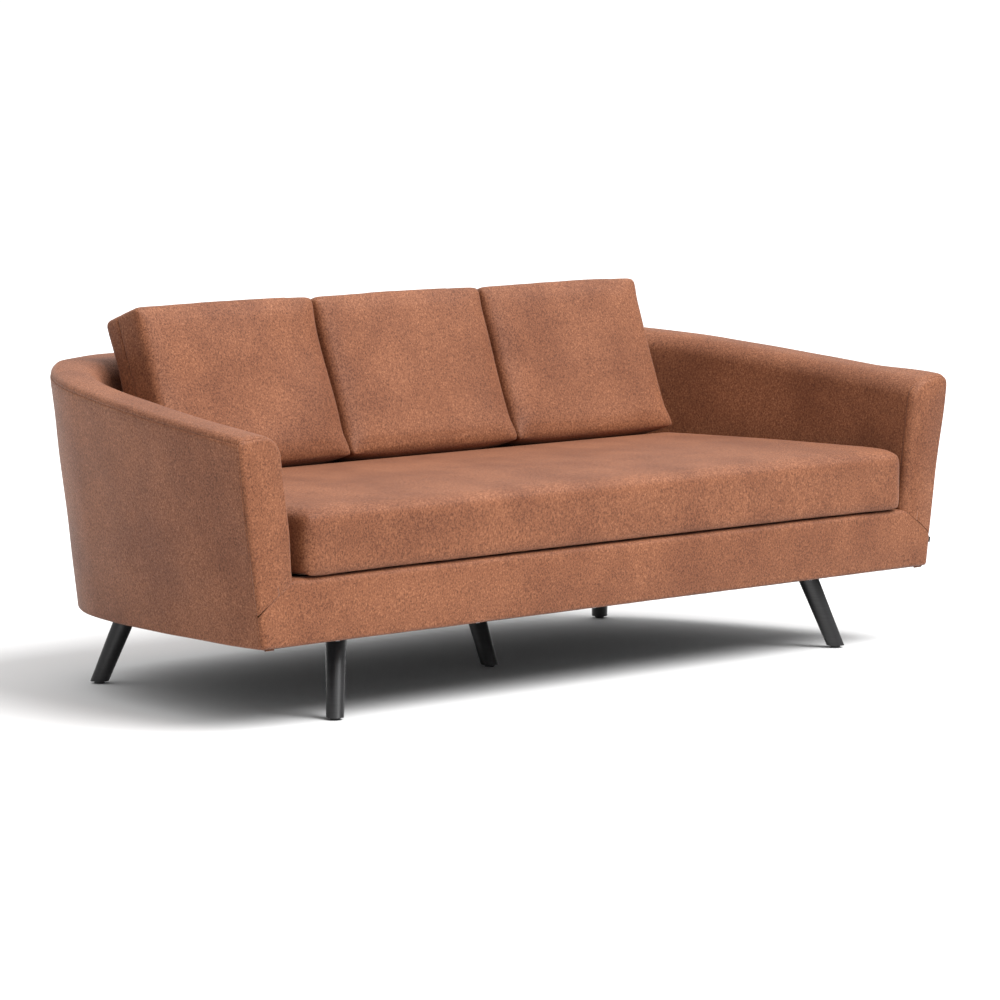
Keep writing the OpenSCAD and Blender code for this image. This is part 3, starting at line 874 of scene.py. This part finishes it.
def offset_outline(corners, out):
    """A convex outline pushed out by a distance, with round joins."""
    n = len(corners)
    ring = []
    for i in range(n):
        a, b, c = corners[i - 1], corners[i], corners[(i + 1) % n]
        first = np.array([(b - a)[1], -(b - a)[0]]) / np.linalg.norm(b - a)
        second = np.array([(c - b)[1], -(c - b)[0]]) / np.linalg.norm(c - b)
        count = 7 if np.dot(first, second) < 0.5 else 1
        for k in range(count):
            way = first + (second - first) * ((k + 0.5) / count)
            ring.append(b + way / np.linalg.norm(way) * out)
    return ring


SEAT_CORNER_R = 0.019
SEAT_TOP_R = 0.021
SEAT_BOTTOM_R = 0.010
SEAT_SLACK = 0.0005
SEAT_MAX_IN = 0.017
SEAT_HALF_W = 0.95
SEAT_HALF_D = 0.36
SEAT_MID_Y = -0.05
SEAT_CROWN = 0.0055
SEAT_HIGHEST = 0.0125
SEAT_OVERHANG = 0.010
SEAT_DROOP = 0.005
SEAT_LEFT_IN = 0.016
SEAT_SWELL = 0.009
PADS_FROM, PADS_TO = 0.553, 0.606


def seat_start_form():
    """The seat cushion before it is filled: the plan of the space, drawn in, with rounded edges."""
    inset = SEAT_CORNER_R + SEAT_SLACK
    side = [inner_point(t, -inset - 0.0005, seat_lo.z) for t in PLAN_T[::6]]
    right = [np.array([p.x, p.y]) for p in side if p.y > FRONT_Y + inset + 0.02]
    corner = np.array([right[0][0] - 0.002, FRONT_Y + inset - 0.002])
    half = [corner] + [p for p in right if p[0] > 0.001]
    outline = half + [np.array([-p[0], p[1]]) for p in reversed(half)]
    z_low, z_high = SEAT_FLOOR_Z + 0.002, SEAT_TOP_Z - 0.006
    levels = [(SEAT_BOTTOM_R + w, z_low) for w in (0.5, 0.25, 0.10, 0.02)]
    turns = [pi / 2 * k / 5 for k in range(6)]
    for a in turns[1:]:
        levels.append((SEAT_BOTTOM_R * (1 - sin(a)), z_low + SEAT_BOTTOM_R * (1 - cos(a))))
    for a in turns:
        levels.append((SEAT_TOP_R * (1 - cos(a)), z_high - SEAT_TOP_R * (1 - sin(a))))
    for w, rise in ((0.02, 0.001), (0.06, 0.003), (0.12, 0.005), (0.25, 0.006)):
        levels.append((SEAT_TOP_R + w, z_high + rise))
    rings = []
    for draw_in, z in levels:
        extra = max(0.0, draw_in - SEAT_MAX_IN)
        in_x, in_y = 1 - extra / SEAT_HALF_W, min(0.98, extra / SEAT_HALF_D)
        ring = offset_outline(outline, SEAT_CORNER_R - min(draw_in, SEAT_MAX_IN))
        rings.append([Vector((p[0] * in_x, mix(p[1], SEAT_MID_Y, in_y), z)) for p in ring])
    return closed_mesh("seat_cushion", rings)


def keep_in_seat_space(obj):
    """Rests the cushion on the deck, under the back cushions and clear of the shell."""
    co = vertex_array(obj)
    x, y, z = co.T
    depth = y - FRONT_Y
    crown = smooth_step(depth, 0.06, 0.32) * (1 - smooth_step(np.abs(x), 0.72, 0.90))
    z += SEAT_CROWN * crown * smooth_step(z, SEAT_TOP_Z - 0.012, SEAT_TOP_Z)
    open_share = 1 - smooth_step(depth, PADS_FROM, PADS_TO)
    z[:] = np.clip(z, SEAT_FLOOR_Z, SEAT_TOP_Z + SEAT_HIGHEST * open_share)
    rise = z - seat_lo.z
    reach_x = np.interp(y, PLAN[:, 1], PLAN[:, 0]) + 0.6 * FLARE * rise - 0.0025
    x[:] = np.where(depth < 0.45, np.sign(x) * np.minimum(np.abs(x), reach_x), x)
    reach_y = np.interp(np.abs(x), PLAN[::-1, 0], PLAN[::-1, 1]) - 0.004
    y[:] = np.where(y > FRONT_Y + 0.40, np.minimum(y, reach_y + BACK_LEAN * rise), y)
    y[:] = np.maximum(y, FRONT_Y - 0.006)
    # the front stands out over the border and hangs down a little, and the left corner stays clear
    y -= SEAT_OVERHANG * (1 - smooth_step(y, FRONT_Y, FRONT_Y + 0.06))
    front_edge = 1 - smooth_step(y, FRONT_Y - 0.002, FRONT_Y + 0.012)
    z -= SEAT_DROOP * front_edge * (1 - smooth_step(z, SEAT_FLOOR_Z, SEAT_FLOOR_Z + 0.05))
    left_share = smooth_step(-x, 0.72, 0.92) * (1 - smooth_step(y, FRONT_Y + 0.03, FRONT_Y + 0.40))
    x += SEAT_LEFT_IN * left_share
    set_vertices(obj, co)


def build_seat_cushion():
    obj = seat_start_form()
    remesh(obj, 0.010)
    inflate(obj, SEAT_SWELL)
    apply_modifier(obj, "SUBSURF", levels=1, render_levels=1)
    keep_in_seat_space(obj)
    return obj


# ---- back cushions
PAD_PITCH = 0.503
PAD_SHIFT = 0.009
PAD_HALF_W = 0.250
PAD_T = 0.112
PAD_H = 0.356
PAD_TILT = radians(20)
PAD_Y = FRONT_Y + 0.552
PAD_Z = 0.463
PAD_SEAM = 0.60
PAD_R = 0.020
PAD_REAR_R = 0.012
PAD_TOP_R = 0.013
PAD_BOTTOM_R = 0.010
PAD_WAIST = 0.008
PAD_SAG = 0.006
PAD_CROWN = 0.026
PAD_BELLY = 0.014
PAD_SWELL = 0.006
PAD_GROWTH = (0.001, 0.001, 0.0013)
RIGHT = np.array([1.0, 0.0, 0.0])
UP = np.array([0.0, sin(PAD_TILT), cos(PAD_TILT)])
REAR = np.array([0.0, cos(PAD_TILT), -sin(PAD_TILT)])


def pad_profile(v, w):
    """Point of the cushion's side profile: v from 0 low to 1 high, w from 0 front to 1 rear."""
    low = np.array([0, PAD_Y, PAD_Z])
    low_rear = np.array([0, PAD_Y + PAD_T, PAD_FOOT_Z])
    top = low + UP * PAD_H
    top_rear = top + REAR * PAD_T
    return mix(mix(low, low_rear, w), mix(top, top_rear, w), v)


def pad_start_form(name, seed):
    """A soft box with pointed lower front corners, before it is filled."""
    bm = bmesh.new()
    bmesh.ops.create_cube(bm, size=2)
    bmesh.ops.subdivide_edges(bm, edges=bm.edges, cuts=34, use_grid_fill=True)
    half = np.array([PAD_HALF_W, PAD_H / 2, PAD_T / 2])
    for vert in bm.verts:
        a, b, c = vert.co
        p = np.array([a, b, c]) * half
        ear = ease((abs(a) - 0.80) / 0.2) * ease((-b - 0.72) / 0.28) * ease((-c + 0.1) / 0.8)
        r = mix(PAD_R, PAD_REAR_R, ease((c + 1) / 2))
        r = mix(r, PAD_TOP_R if b > 0 else PAD_BOTTOM_R, ease((abs(b) - 0.7) / 0.3))
        r = r * (1 - 0.75 * ear)
        core = np.clip(p, -(half - r), half - r)
        d = p - core
        size = np.linalg.norm(d)
        if size > 1e-9:
            p = core + d / size * r
        u, v, w = p / half
        # sides pull in between the corners, and the top is crowned
        u *= 1 - PAD_WAIST * (1 - v * v)
        v *= 1 + (PAD_CROWN if v > 0 else -PAD_SAG) * (1 - u * u)
        place = pad_profile((v + 1) / 2, (w + 1) / 2)
        place[0] = u * PAD_HALF_W
        # the underside swells down on to the seat
        belly = sin(pi * min(1, max(0, (w + 1) / 2) ** 0.8)) * (1 - u ** 4)
        place[2] -= PAD_BELLY * ease((-v - 0.45) / 0.55) * belly
        vert.co = place + REAR * (0.004 * noise.noise(Vector((u * 1.3, v * 1.3, seed))))
    obj = bm_object(name, bm)
    middle = pad_profile(0.5, 0.5)
    rel = vertex_array(obj) - middle
    for way, reach, grow in zip((RIGHT, UP, REAR), half, PAD_GROWTH):
        rel += np.outer(np.clip(rel @ way / reach, -1, 1) * grow, way)
    set_vertices(obj, rel + middle)
    return obj


def keep_in_pad_space(obj):
    """Rests the cushion on the seat and against its neighbours and the shell."""
    co = vertex_array(obj)
    x, y, z = co.T
    reach = PAD_PITCH / 2 - 0.0004
    x[:] = np.clip(x, -reach, reach)
    z[:] = np.maximum(z, PAD_FOOT_Z)
    wall = FRONT_Y + DEPTH - ARM_T - BACK_EXTRA_T
    wall -= (RIM_BACK_Z - np.minimum(z, RIM_BACK_Z)) * BACK_LEAN
    y[:] = np.where(z < RIM_BACK_Z + 0.004, np.minimum(y, wall - 0.003), y)
    set_vertices(obj, co)


def dip_along(obj, plane_point, plane_normal, depth, width):
    """Sinks the skin along a plane, as a seam pulls it in."""
    co, normals = vertex_array(obj), vertex_array(obj, "normal")
    d = (co - plane_point) @ plane_normal
    facing = 1 - np.abs(normals @ plane_normal)
    sink = depth * np.exp(-((d / width) ** 2)) * smooth_step(facing, 0.2, 0.7)
    set_vertices(obj, co - normals * sink[:, None])


def seam_loop(obj, plane_point, plane_normal):
    """The closed line where a plane crosses a piece, as points with outward ways."""
    bm = bmesh.new()
    bm.from_mesh(obj.data)
    parts = bm.verts[:] + bm.edges[:] + bm.faces[:]
    cut = bmesh.ops.bisect_plane(bm, geom=parts, plane_co=plane_point, plane_no=plane_normal)
    edges = [e for e in cut["geom_cut"] if isinstance(e, bmesh.types.BMEdge)]
    links = {}
    for e in edges:
        for v in e.verts:
            links.setdefault(v, []).append(e.other_vert(v))
    line, last = [edges[0].verts[0]], None
    while True:
        ahead = [v for v in links[line[-1]] if v is not last]
        last = line[-1]
        if not ahead or ahead[0] is line[0] or len(line) > 20000:
            break
        line.append(ahead[0])
    points = np.array([tuple(v.co) for v in line])
    ways = np.array([tuple(v.normal) for v in line])
    bm.free()
    return points, ways


def tube(name, line, out, across, sides):
    """A closed tube round a line, as wide as the two ways across it are long."""
    turns = [2 * pi * k / sides for k in range(sides)]
    rings = np.stack([line + cos(a) * out + sin(a) * across for a in turns], axis=1)
    return mesh_object(name, rings.reshape(-1, 3), ring_faces(len(line), sides, closed=True))


WELT_HALF_W, WELT_HALF_T = 0.00165, 0.00088
WELT_LIFT = 0.0002
WELT_STEP = 0.004


def welt(name, obj, plane_point, plane_normal):
    """A narrow sewn edge standing along a seam."""
    closed, closed_ways = (np.vstack([a, a[:1]]) for a in seam_loop(obj, plane_point, plane_normal))
    step = np.linalg.norm(np.diff(closed, axis=0), axis=1)
    along = np.concatenate([[0], np.cumsum(step)])
    at = np.linspace(0, along[-1], int(along[-1] / WELT_STEP), endpoint=False)
    line, out = (
        np.stack([np.interp(at, along, a) for a in part.T], axis=1)
        for part in (closed, closed_ways)
    )
    for _ in range(4):
        line = (np.roll(line, 1, 0) + 2 * line + np.roll(line, -1, 0)) / 4
    out -= np.outer(out @ plane_normal, plane_normal)
    out /= np.linalg.norm(out, axis=1, keepdims=True)
    across = WELT_HALF_T * np.array(plane_normal)
    return tube(name, line + out * WELT_LIFT, WELT_HALF_W * out, across, 10)


def build_pad(word, x_mid, seed):
    obj = pad_start_form("back_cushion" + word, seed)
    remesh(obj, 0.006)
    inflate(obj, PAD_SWELL)
    apply_modifier(obj, "SUBSURF", levels=1, render_levels=1)
    keep_in_pad_space(obj)
    seam_point = pad_profile(0.5, PAD_SEAM)
    dip_along(obj, seam_point, REAR, 0.0022, 0.0032)
    edge = welt("back_cushion_welt" + word, obj, tuple(seam_point), tuple(REAR))
    for piece in (obj, edge):
        co = vertex_array(piece)
        co[:, 0] += x_mid
        set_vertices(piece, co)
    return obj, edge


# ---- zips
def wire_loop(name, points, radius):
    """A closed wire through points that lie in one plane."""
    line = np.array([tuple(p) for p in points])
    along = np.roll(line, -1, 0) - np.roll(line, 1, 0)
    along /= np.linalg.norm(along, axis=1, keepdims=True)
    flat = np.cross(along[0], along[len(along) // 4])
    flat /= np.linalg.norm(flat)
    return tube(name, line, radius * np.cross(along, flat), radius * flat, 8)


def add_block(bm, centre, half, axes, bevel=0.0):
    """A small block, with softened edges if bevel is given, added to a mesh."""
    made = bmesh.ops.create_cube(bm, size=2)["verts"]
    for v in made:
        v.co = Vector([c * h for c, h in zip(v.co, half)])
    if bevel:
        edges = list({e for v in made for e in v.link_edges})
        cut = bmesh.ops.bevel(bm, geom=edges, offset=bevel, segments=2, affect="EDGES", profile=0.6)
        made = {v for f in cut["faces"] for v in f.verts} | {v for v in made if v.is_valid}
    for v in made:
        v.co = sum((Vector(axis) * c for c, axis in zip(v.co, axes)), Vector(centre))


ZIP_ROWS = (-0.011, -0.0085, -0.005, -0.0022, -0.001, 0, 0.001, 0.0022, 0.005, 0.0085, 0.011)
TAPE_STEP = 0.006
TOOTH_PITCH = 0.0030
TOOTH = (0.0009, 0.0018, 0.0007)
SLIDER = (0.0052, 0.0038, 0.0016)
SLIDER_EYE = (0.0030, 0.0010, 0.0008)
PULL_SIZE = (0.0105, 0.0030)
PULL_R = 0.0007


def rounded(v):
    """A circle's coordinate, for an outline between a circle and a box."""
    return copysign(abs(v) ** 0.6, v)


def add_zip(name, cushion, body, x_mid, half_length, foot, up, inward):
    """Tape, teeth and slider of a zip that lies across a cushion's rear. foot is a point behind its
    middle, up runs across the tape and inward towards the cushion."""
    faces = [tuple(f.vertices) for f in cushion.data.polygons]
    skin = BVHTree.FromPolygons([v.co for v in cushion.data.vertices], faces)
    up, inward = Vector(up), Vector(inward)

    def on_skin(x, across):
        start = Vector(foot) + Vector((x_mid + x, 0, 0)) + up * across - inward * 0.05
        hit = skin.ray_cast(start, inward)[0]
        return start + inward * 0.05 if hit is None else hit

    count = int(half_length * 2 / TAPE_STEP)
    rows = []
    for i in range(count + 1):
        x = mix(-half_length, half_length, i / count)
        row = []
        for across in ZIP_ROWS:
            lift = 0.0004 + 0.0010 * exp(-((abs(across) - 0.0035) / 0.0020) ** 2)
            row.append(on_skin(x, across) - inward * lift)
        rows.append(row)
    tape = grid_object(name + "_tape", rows)
    add_thickness(tape, 0.0004)
    side_way = Vector((1, 0, 0))
    axes = (side_way, up, inward)
    bm = bmesh.new()
    for i in range(int(half_length * 2 / TOOTH_PITCH)):
        x = -half_length + 0.004 + i * TOOTH_PITCH
        if x > half_length - 0.004:
            break
        shift = 0.0007 if i % 2 else -0.0007
        add_block(bm, on_skin(x, 0) - inward * 0.0012 + up * shift, TOOTH, axes)
    teeth = bm_object(name + "_teeth", bm)
    bm = bmesh.new()
    at = on_skin(half_length - 0.014, 0) - inward * 0.0026
    add_block(bm, at, SLIDER, axes, bevel=0.0008)
    add_block(bm, at - inward * 0.0020, SLIDER_EYE, axes, bevel=0.0003)
    slider = bm_object(name + "_slider", bm)
    hinge = at - inward * 0.0022 - side_way * 0.0125
    turns = [2 * pi * k / 28 for k in range(28)]
    loop = [
        hinge + side_way * (rounded(cos(a)) * PULL_SIZE[0]) + up * (rounded(sin(a)) * PULL_SIZE[1])
        for a in turns
    ]
    finish_piece(tape, body, material=TAPE)
    for piece in (teeth, slider, wire_loop(name + "_pull", loop, PULL_R)):
        finish_piece(piece, body, material=BRASS)


# ---- under the base, deck and tab
COVER_INSET = 0.019
COVER_SAG = 0.0025
COVER_DROP = 0.0027
PLATE_HOLE = (0.042, 0.042, 0.02)
AXES = ((1, 0, 0), (0, 1, 0), (0, 0, 1))
STAPLE = (0.0050, 0.0006, 0.0004)
STAPLE_PITCH = 0.042


def base_outline(inset, step=6):
    """The base's outline in plan, set in, from the front right corner round to the front left."""
    side = [outer_point(t, inset, BASE_Z) for t in PLAN_T[::step]]
    right = [p for p in side if p.y > FRONT_Y + inset]
    right = [Vector((right[0].x, FRONT_Y + inset, BASE_Z))] + right
    left = [Vector((-p.x, p.y, p.z)) for p in reversed(right) if p.x > 0.001]
    front = [mix(left[-1], right[0], i / 40) for i in range(1, 40)]
    return right + left + front


def dust_cover():
    """A thin cloth stapled under the base, with a hole for each leg's plate."""
    outline = base_outline(COVER_INSET)
    middle = Vector((0, 0.02, BASE_Z))
    rings = []
    for w in (0.02, 0.2, 0.4, 0.55, 0.7, 0.8, 0.88, 0.94, 0.98, 1):
        ring = []
        for p in outline:
            q = mix(middle, p, w)
            pull = 0.0006 * noise.noise(Vector((q.x * 9, q.y * 9, 3)))
            q.z = BASE_Z - COVER_DROP - COVER_SAG * (1 - w * w) + pull
            ring.append(q)
        rings.append(ring)
    m = len(outline)
    faces = ring_faces(len(rings), m) + [tuple(range(m))]
    cloth = mesh_object("dust_cover_cloth", [p for ring in rings for p in ring], faces)
    add_thickness(cloth, 0.0006)
    bm = bmesh.new()
    for plate in leg_places():
        add_block(bm, plate, PLATE_HOLE, AXES)
    cutter = bm_object("cutter", bm)
    apply_modifier(cloth, "BOOLEAN", object=cutter, operation="DIFFERENCE")
    shade(cloth.data, smooth=False)
    bpy.data.objects.remove(cutter)
    return cloth


def leg_places():
    """Middle of each leg's plate, from the leg's own solid: its top leans away from its foot."""
    places = []
    for word in ("front_left", "front_right", "back_left", "back_right", "centre"):
        leg_lo, leg_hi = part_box("leg_" + word)
        glide_lo, glide_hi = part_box("glide_" + word)
        top = Vector(leg_lo) + Vector(leg_hi) - (Vector(glide_lo) + Vector(glide_hi)) / 2
        places.append(Vector((top.x, top.y, BASE_Z)))
    return places


def staples():
    outline = base_outline(COVER_INSET + 0.006, step=1)
    bm = bmesh.new()
    run = 0.0
    for a, b in zip(outline, outline[1:]):
        run += (b - a).length
        if run < STAPLE_PITCH:
            continue
        run = 0.0
        along = (b - a).normalized()
        axes = (along, along.cross(Vector(AXES[2])), AXES[2])
        add_block(bm, (b.x, b.y, BASE_Z - COVER_DROP - 0.0010), STAPLE, axes, bevel=0.0002)
    return bm_object("dust_cover_staples", bm)


DECK_PITCH = 0.105
DECK_CHANNEL = 0.0034
DECK_ROWS, DECK_COLUMNS = 92, 232


def seat_deck():
    """A thin quilted pad under the seat cushion, sewn in diamonds."""
    plan = np.array([tuple(inner_point(t, -0.0015, deck_lo.z)) for t in PLAN_T])
    height, width = DECK_ROWS + 1, DECK_COLUMNS + 1
    top, bottom = [], []
    for i in range(height):
        y = mix(deck_lo.y, deck_hi.y, i / DECK_ROWS)
        reach = float(np.interp(y, plan[:, 1], plan[:, 0]))
        for j in range(width):
            x = mix(-reach, reach, j / DECK_COLUMNS)
            edge = min(reach - abs(x), y - deck_lo.y, deck_hi.y - y)
            roll = 1 - min(1.0, edge / 0.010)
            seam = min(abs(sin(pi * (x + y) / DECK_PITCH)), abs(sin(pi * (x - y) / DECK_PITCH)))
            z = deck_hi.z - 0.0004 - DECK_CHANNEL * exp(-seam / 0.16)
            top.append((x, y, mix(z, deck_lo.z + 0.002, 1 - (1 - roll * roll) ** 0.5)))
            bottom.append((x, y, deck_lo.z + 0.0004))
    n = height * width
    faces = grid_faces(height, width)
    faces = [f[::-1] for f in faces] + [tuple(k + n for k in f) for f in faces]
    rim = list(range(width)) + [(i + 1) * width - 1 for i in range(1, height)]
    rim += [DECK_ROWS * width + j for j in range(width - 2, -1, -1)]
    rim += [i * width for i in range(DECK_ROWS - 1, 0, -1)]
    faces += [(a, a + n, b + n, b) for a, b in zip(rim, rim[1:] + rim[:1])]
    return mesh_object("seat_deck_pad", top + bottom, faces)


TAB_LOW_Z, TAB_HIGH_Z = 0.219, 0.231


def side_tab():
    """A small blank folded tab sewn into the right side."""
    path = [(0.0025 + 0.0115 * i / 8, 0.0008 + 0.0016 * (i / 8) ** 2) for i in range(9)]
    turns = [pi * k / 6 for k in range(1, 6)]
    path += [(0.0140 + 0.0008 * sin(a), 0.0032 - 0.0008 * cos(a)) for a in turns]
    path += [(0.0140 - 0.0115 * i / 8, 0.0040 - 0.0022 * (i / 8)) for i in range(9)]
    heights = [mix(TAB_LOW_Z, TAB_HIGH_Z, k / 6) for k in range(7)]
    rows = [[outer_point(t, -out, z) for z in heights] for t, out in path]
    tab = grid_object("side_tab_cloth", rows)
    add_thickness(tab, 0.0005)
    return tab


ARM_FULLNESS = 0.009


def fill_out(obj):
    """Stuffs the right arm a little fuller at its outer top front corner."""
    co = vertex_array(obj)
    x, y, z = co.T
    full = ARM_FULLNESS * smooth_step(x, 0.955, 1.040)
    full *= 1 - smooth_step(y, FRONT_Y + 0.01, FRONT_Y + 0.20)
    low, high = smooth_step(z, 0.36, 0.56), smooth_step(z, 0.50, 0.58)
    x += full * low
    z += full * high
    set_vertices(obj, co)


# ---- build the shell
SHELL = "sofa_frame"
for side, word in SIDE_NAMES.items():
    for build in (inside_arm, outside_arm, arm_front):
        skin = build(side)
        if side == 1:
            fill_out(skin)
        finish_piece(skin, SHELL, ["%s_%s" % (build.__name__, word)])
finish_piece(inside_back(), SHELL, ["inside_back"])
finish_piece(outside_back(), SHELL, ["outside_back"])
finish_piece(border(), SHELL, ["front_border", "front_foam"])

cover = finish_piece(dust_cover(), SHELL, ["dust_cover"], LINING)
finish_piece(staples(), SHELL, material=STEEL)
deck = finish_piece(seat_deck(), SHELL, ["seat_deck"], LINING)
tab = finish_piece(side_tab(), SHELL, ["side_tab"], TAB)


# ---- build the cushions
def finish_cushion(obj, body, word):
    finish_piece(obj, body + word, [body + "_cover" + word, body + "_core" + word])


seat_cushion = build_seat_cushion()
rear_of_seat = (0, seat_hi.y, mix(SEAT_FLOOR_Z, SEAT_TOP_Z, 0.45))
add_zip("seat_zip", seat_cushion, "seat_cushion", 0.0, 0.40, rear_of_seat, (0, 0, 1), (0, -1, 0))
finish_cushion(seat_cushion, "seat_cushion", "")
for word, place, seed in (("_left", -1, 2.1), ("_centre", 0, 5.3), ("_right", 1, 8.7)):
    x_mid = PAD_SHIFT + PAD_PITCH * place
    pad, pad_welt = build_pad(word, x_mid, seed)
    finish_cushion(pad, "back_cushion", word)
    finish_piece(pad_welt, "back_cushion" + word)
    rear_of_pad = pad_profile(0.16, 1.0)
    add_zip("zip" + word, pad, "back_cushion" + word, x_mid, 0.185, rear_of_pad, UP, -REAR)

# ---- carried-over CAD nodes
NODE_LOOKS = {
    "rail": TIMBER, "stretcher": TIMBER, "post": TIMBER, "board": BOARD, "springs": STEEL,
    "clips": STEEL, "webbing": WEBBING, "foam": FOAM, "plates": STEEL, "screws": STEEL,
    "bolts": STEEL, "inserts": BRASS, "glide": GLIDE, "leg": LEG_WOOD,
}


def dress_nodes():
    for name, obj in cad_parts.items():
        look = next((m for key, m in NODE_LOOKS.items() if key in name), UPHOLSTERY)
        obj.data.materials.clear()
        obj.data.materials.append(look)
        if name.startswith(("leg_", "glide")):
            bevel = add_modifier(obj, "BEVEL", width=0.0012, segments=3, limit_method="ANGLE")
            bevel.angle_limit = radians(50)


dress_nodes()

# ---- camera, light, floor
CAMERA_PLACE = (-7.166, -7.291, 1.420)
CAMERA_TILT = radians(90 - 5.957)
CAMERA_HEADING = radians(-45)
CAMERA_LENS = 171.3
FLOOR_CORNERS = ((-1, -1), (1, -1), (1, 1), (-1, 1))


def add_camera():
    data = bpy.data.cameras.new("camera")
    data.lens, data.sensor_width, data.clip_end = CAMERA_LENS, 36, 60
    cam = add_object("camera", data)
    cam.location = CAMERA_PLACE
    cam.rotation_euler = (CAMERA_TILT, 0, CAMERA_HEADING)
    bpy.context.scene.camera = cam


def add_key(way, strength, spread):
    """A wide softbox, far enough off to light everything alike."""
    data = bpy.data.lights.new("key", "SUN")
    data.energy, data.angle = strength, spread
    lamp = add_object("key", data)
    lamp.location = Vector(way) * 5
    lamp.rotation_euler = Vector(way).to_track_quat("Z", "Y").to_euler()


def add_floor():
    size = 30
    corners = [(x * size, y * size, 0) for x, y in FLOOR_CORNERS]
    floor = mesh_object("floor", corners, [(0, 1, 2, 3)])
    mat, tree, shader = new_material("floor")
    tone = ramp(tree, noise_value(tree, mapped(tree), 2, 3), [(0.3, 0.65), (0.7, 0.67)])
    feed(tree, shader, Base_Color=tone, Roughness=0.9)
    floor.data.materials.append(mat)


DOME_STRENGTH = 1.62


def add_world():
    """Soft light from all round and strongest overhead, in front of a plain white background."""
    world = bpy.data.worlds.new("studio")
    world.use_nodes = True
    tree = world.node_tree
    soft = tree.nodes["Background"]
    way = node(tree, "TexCoord")
    parts = node(tree, "SeparateXYZ", Vector=way.outputs["Generated"])
    light = ramp(tree, parts.outputs["Z"], [(0.0, 0.06), (0.9, 1.0)])
    feed(tree, soft, Color=light, Strength=DOME_STRENGTH)
    white = node(tree, "Background", Color=1.0, Strength=1.05)
    rays = node(tree, "LightPath")
    mixer = node(tree, "MixShader", Fac=rays.outputs["Is Camera Ray"])
    plug(tree, mixer.inputs[1], soft.outputs["Background"])
    plug(tree, mixer.inputs[2], white.outputs["Background"])
    plug(tree, tree.nodes["World Output"].inputs["Surface"], mixer.outputs["Shader"])
    bpy.context.scene.world = world


add_camera()
add_floor()
add_world()
add_key((0.22, -0.58, 0.78), 4.75, radians(40))
bpy.context.scene.view_settings.view_transform = "Standard"
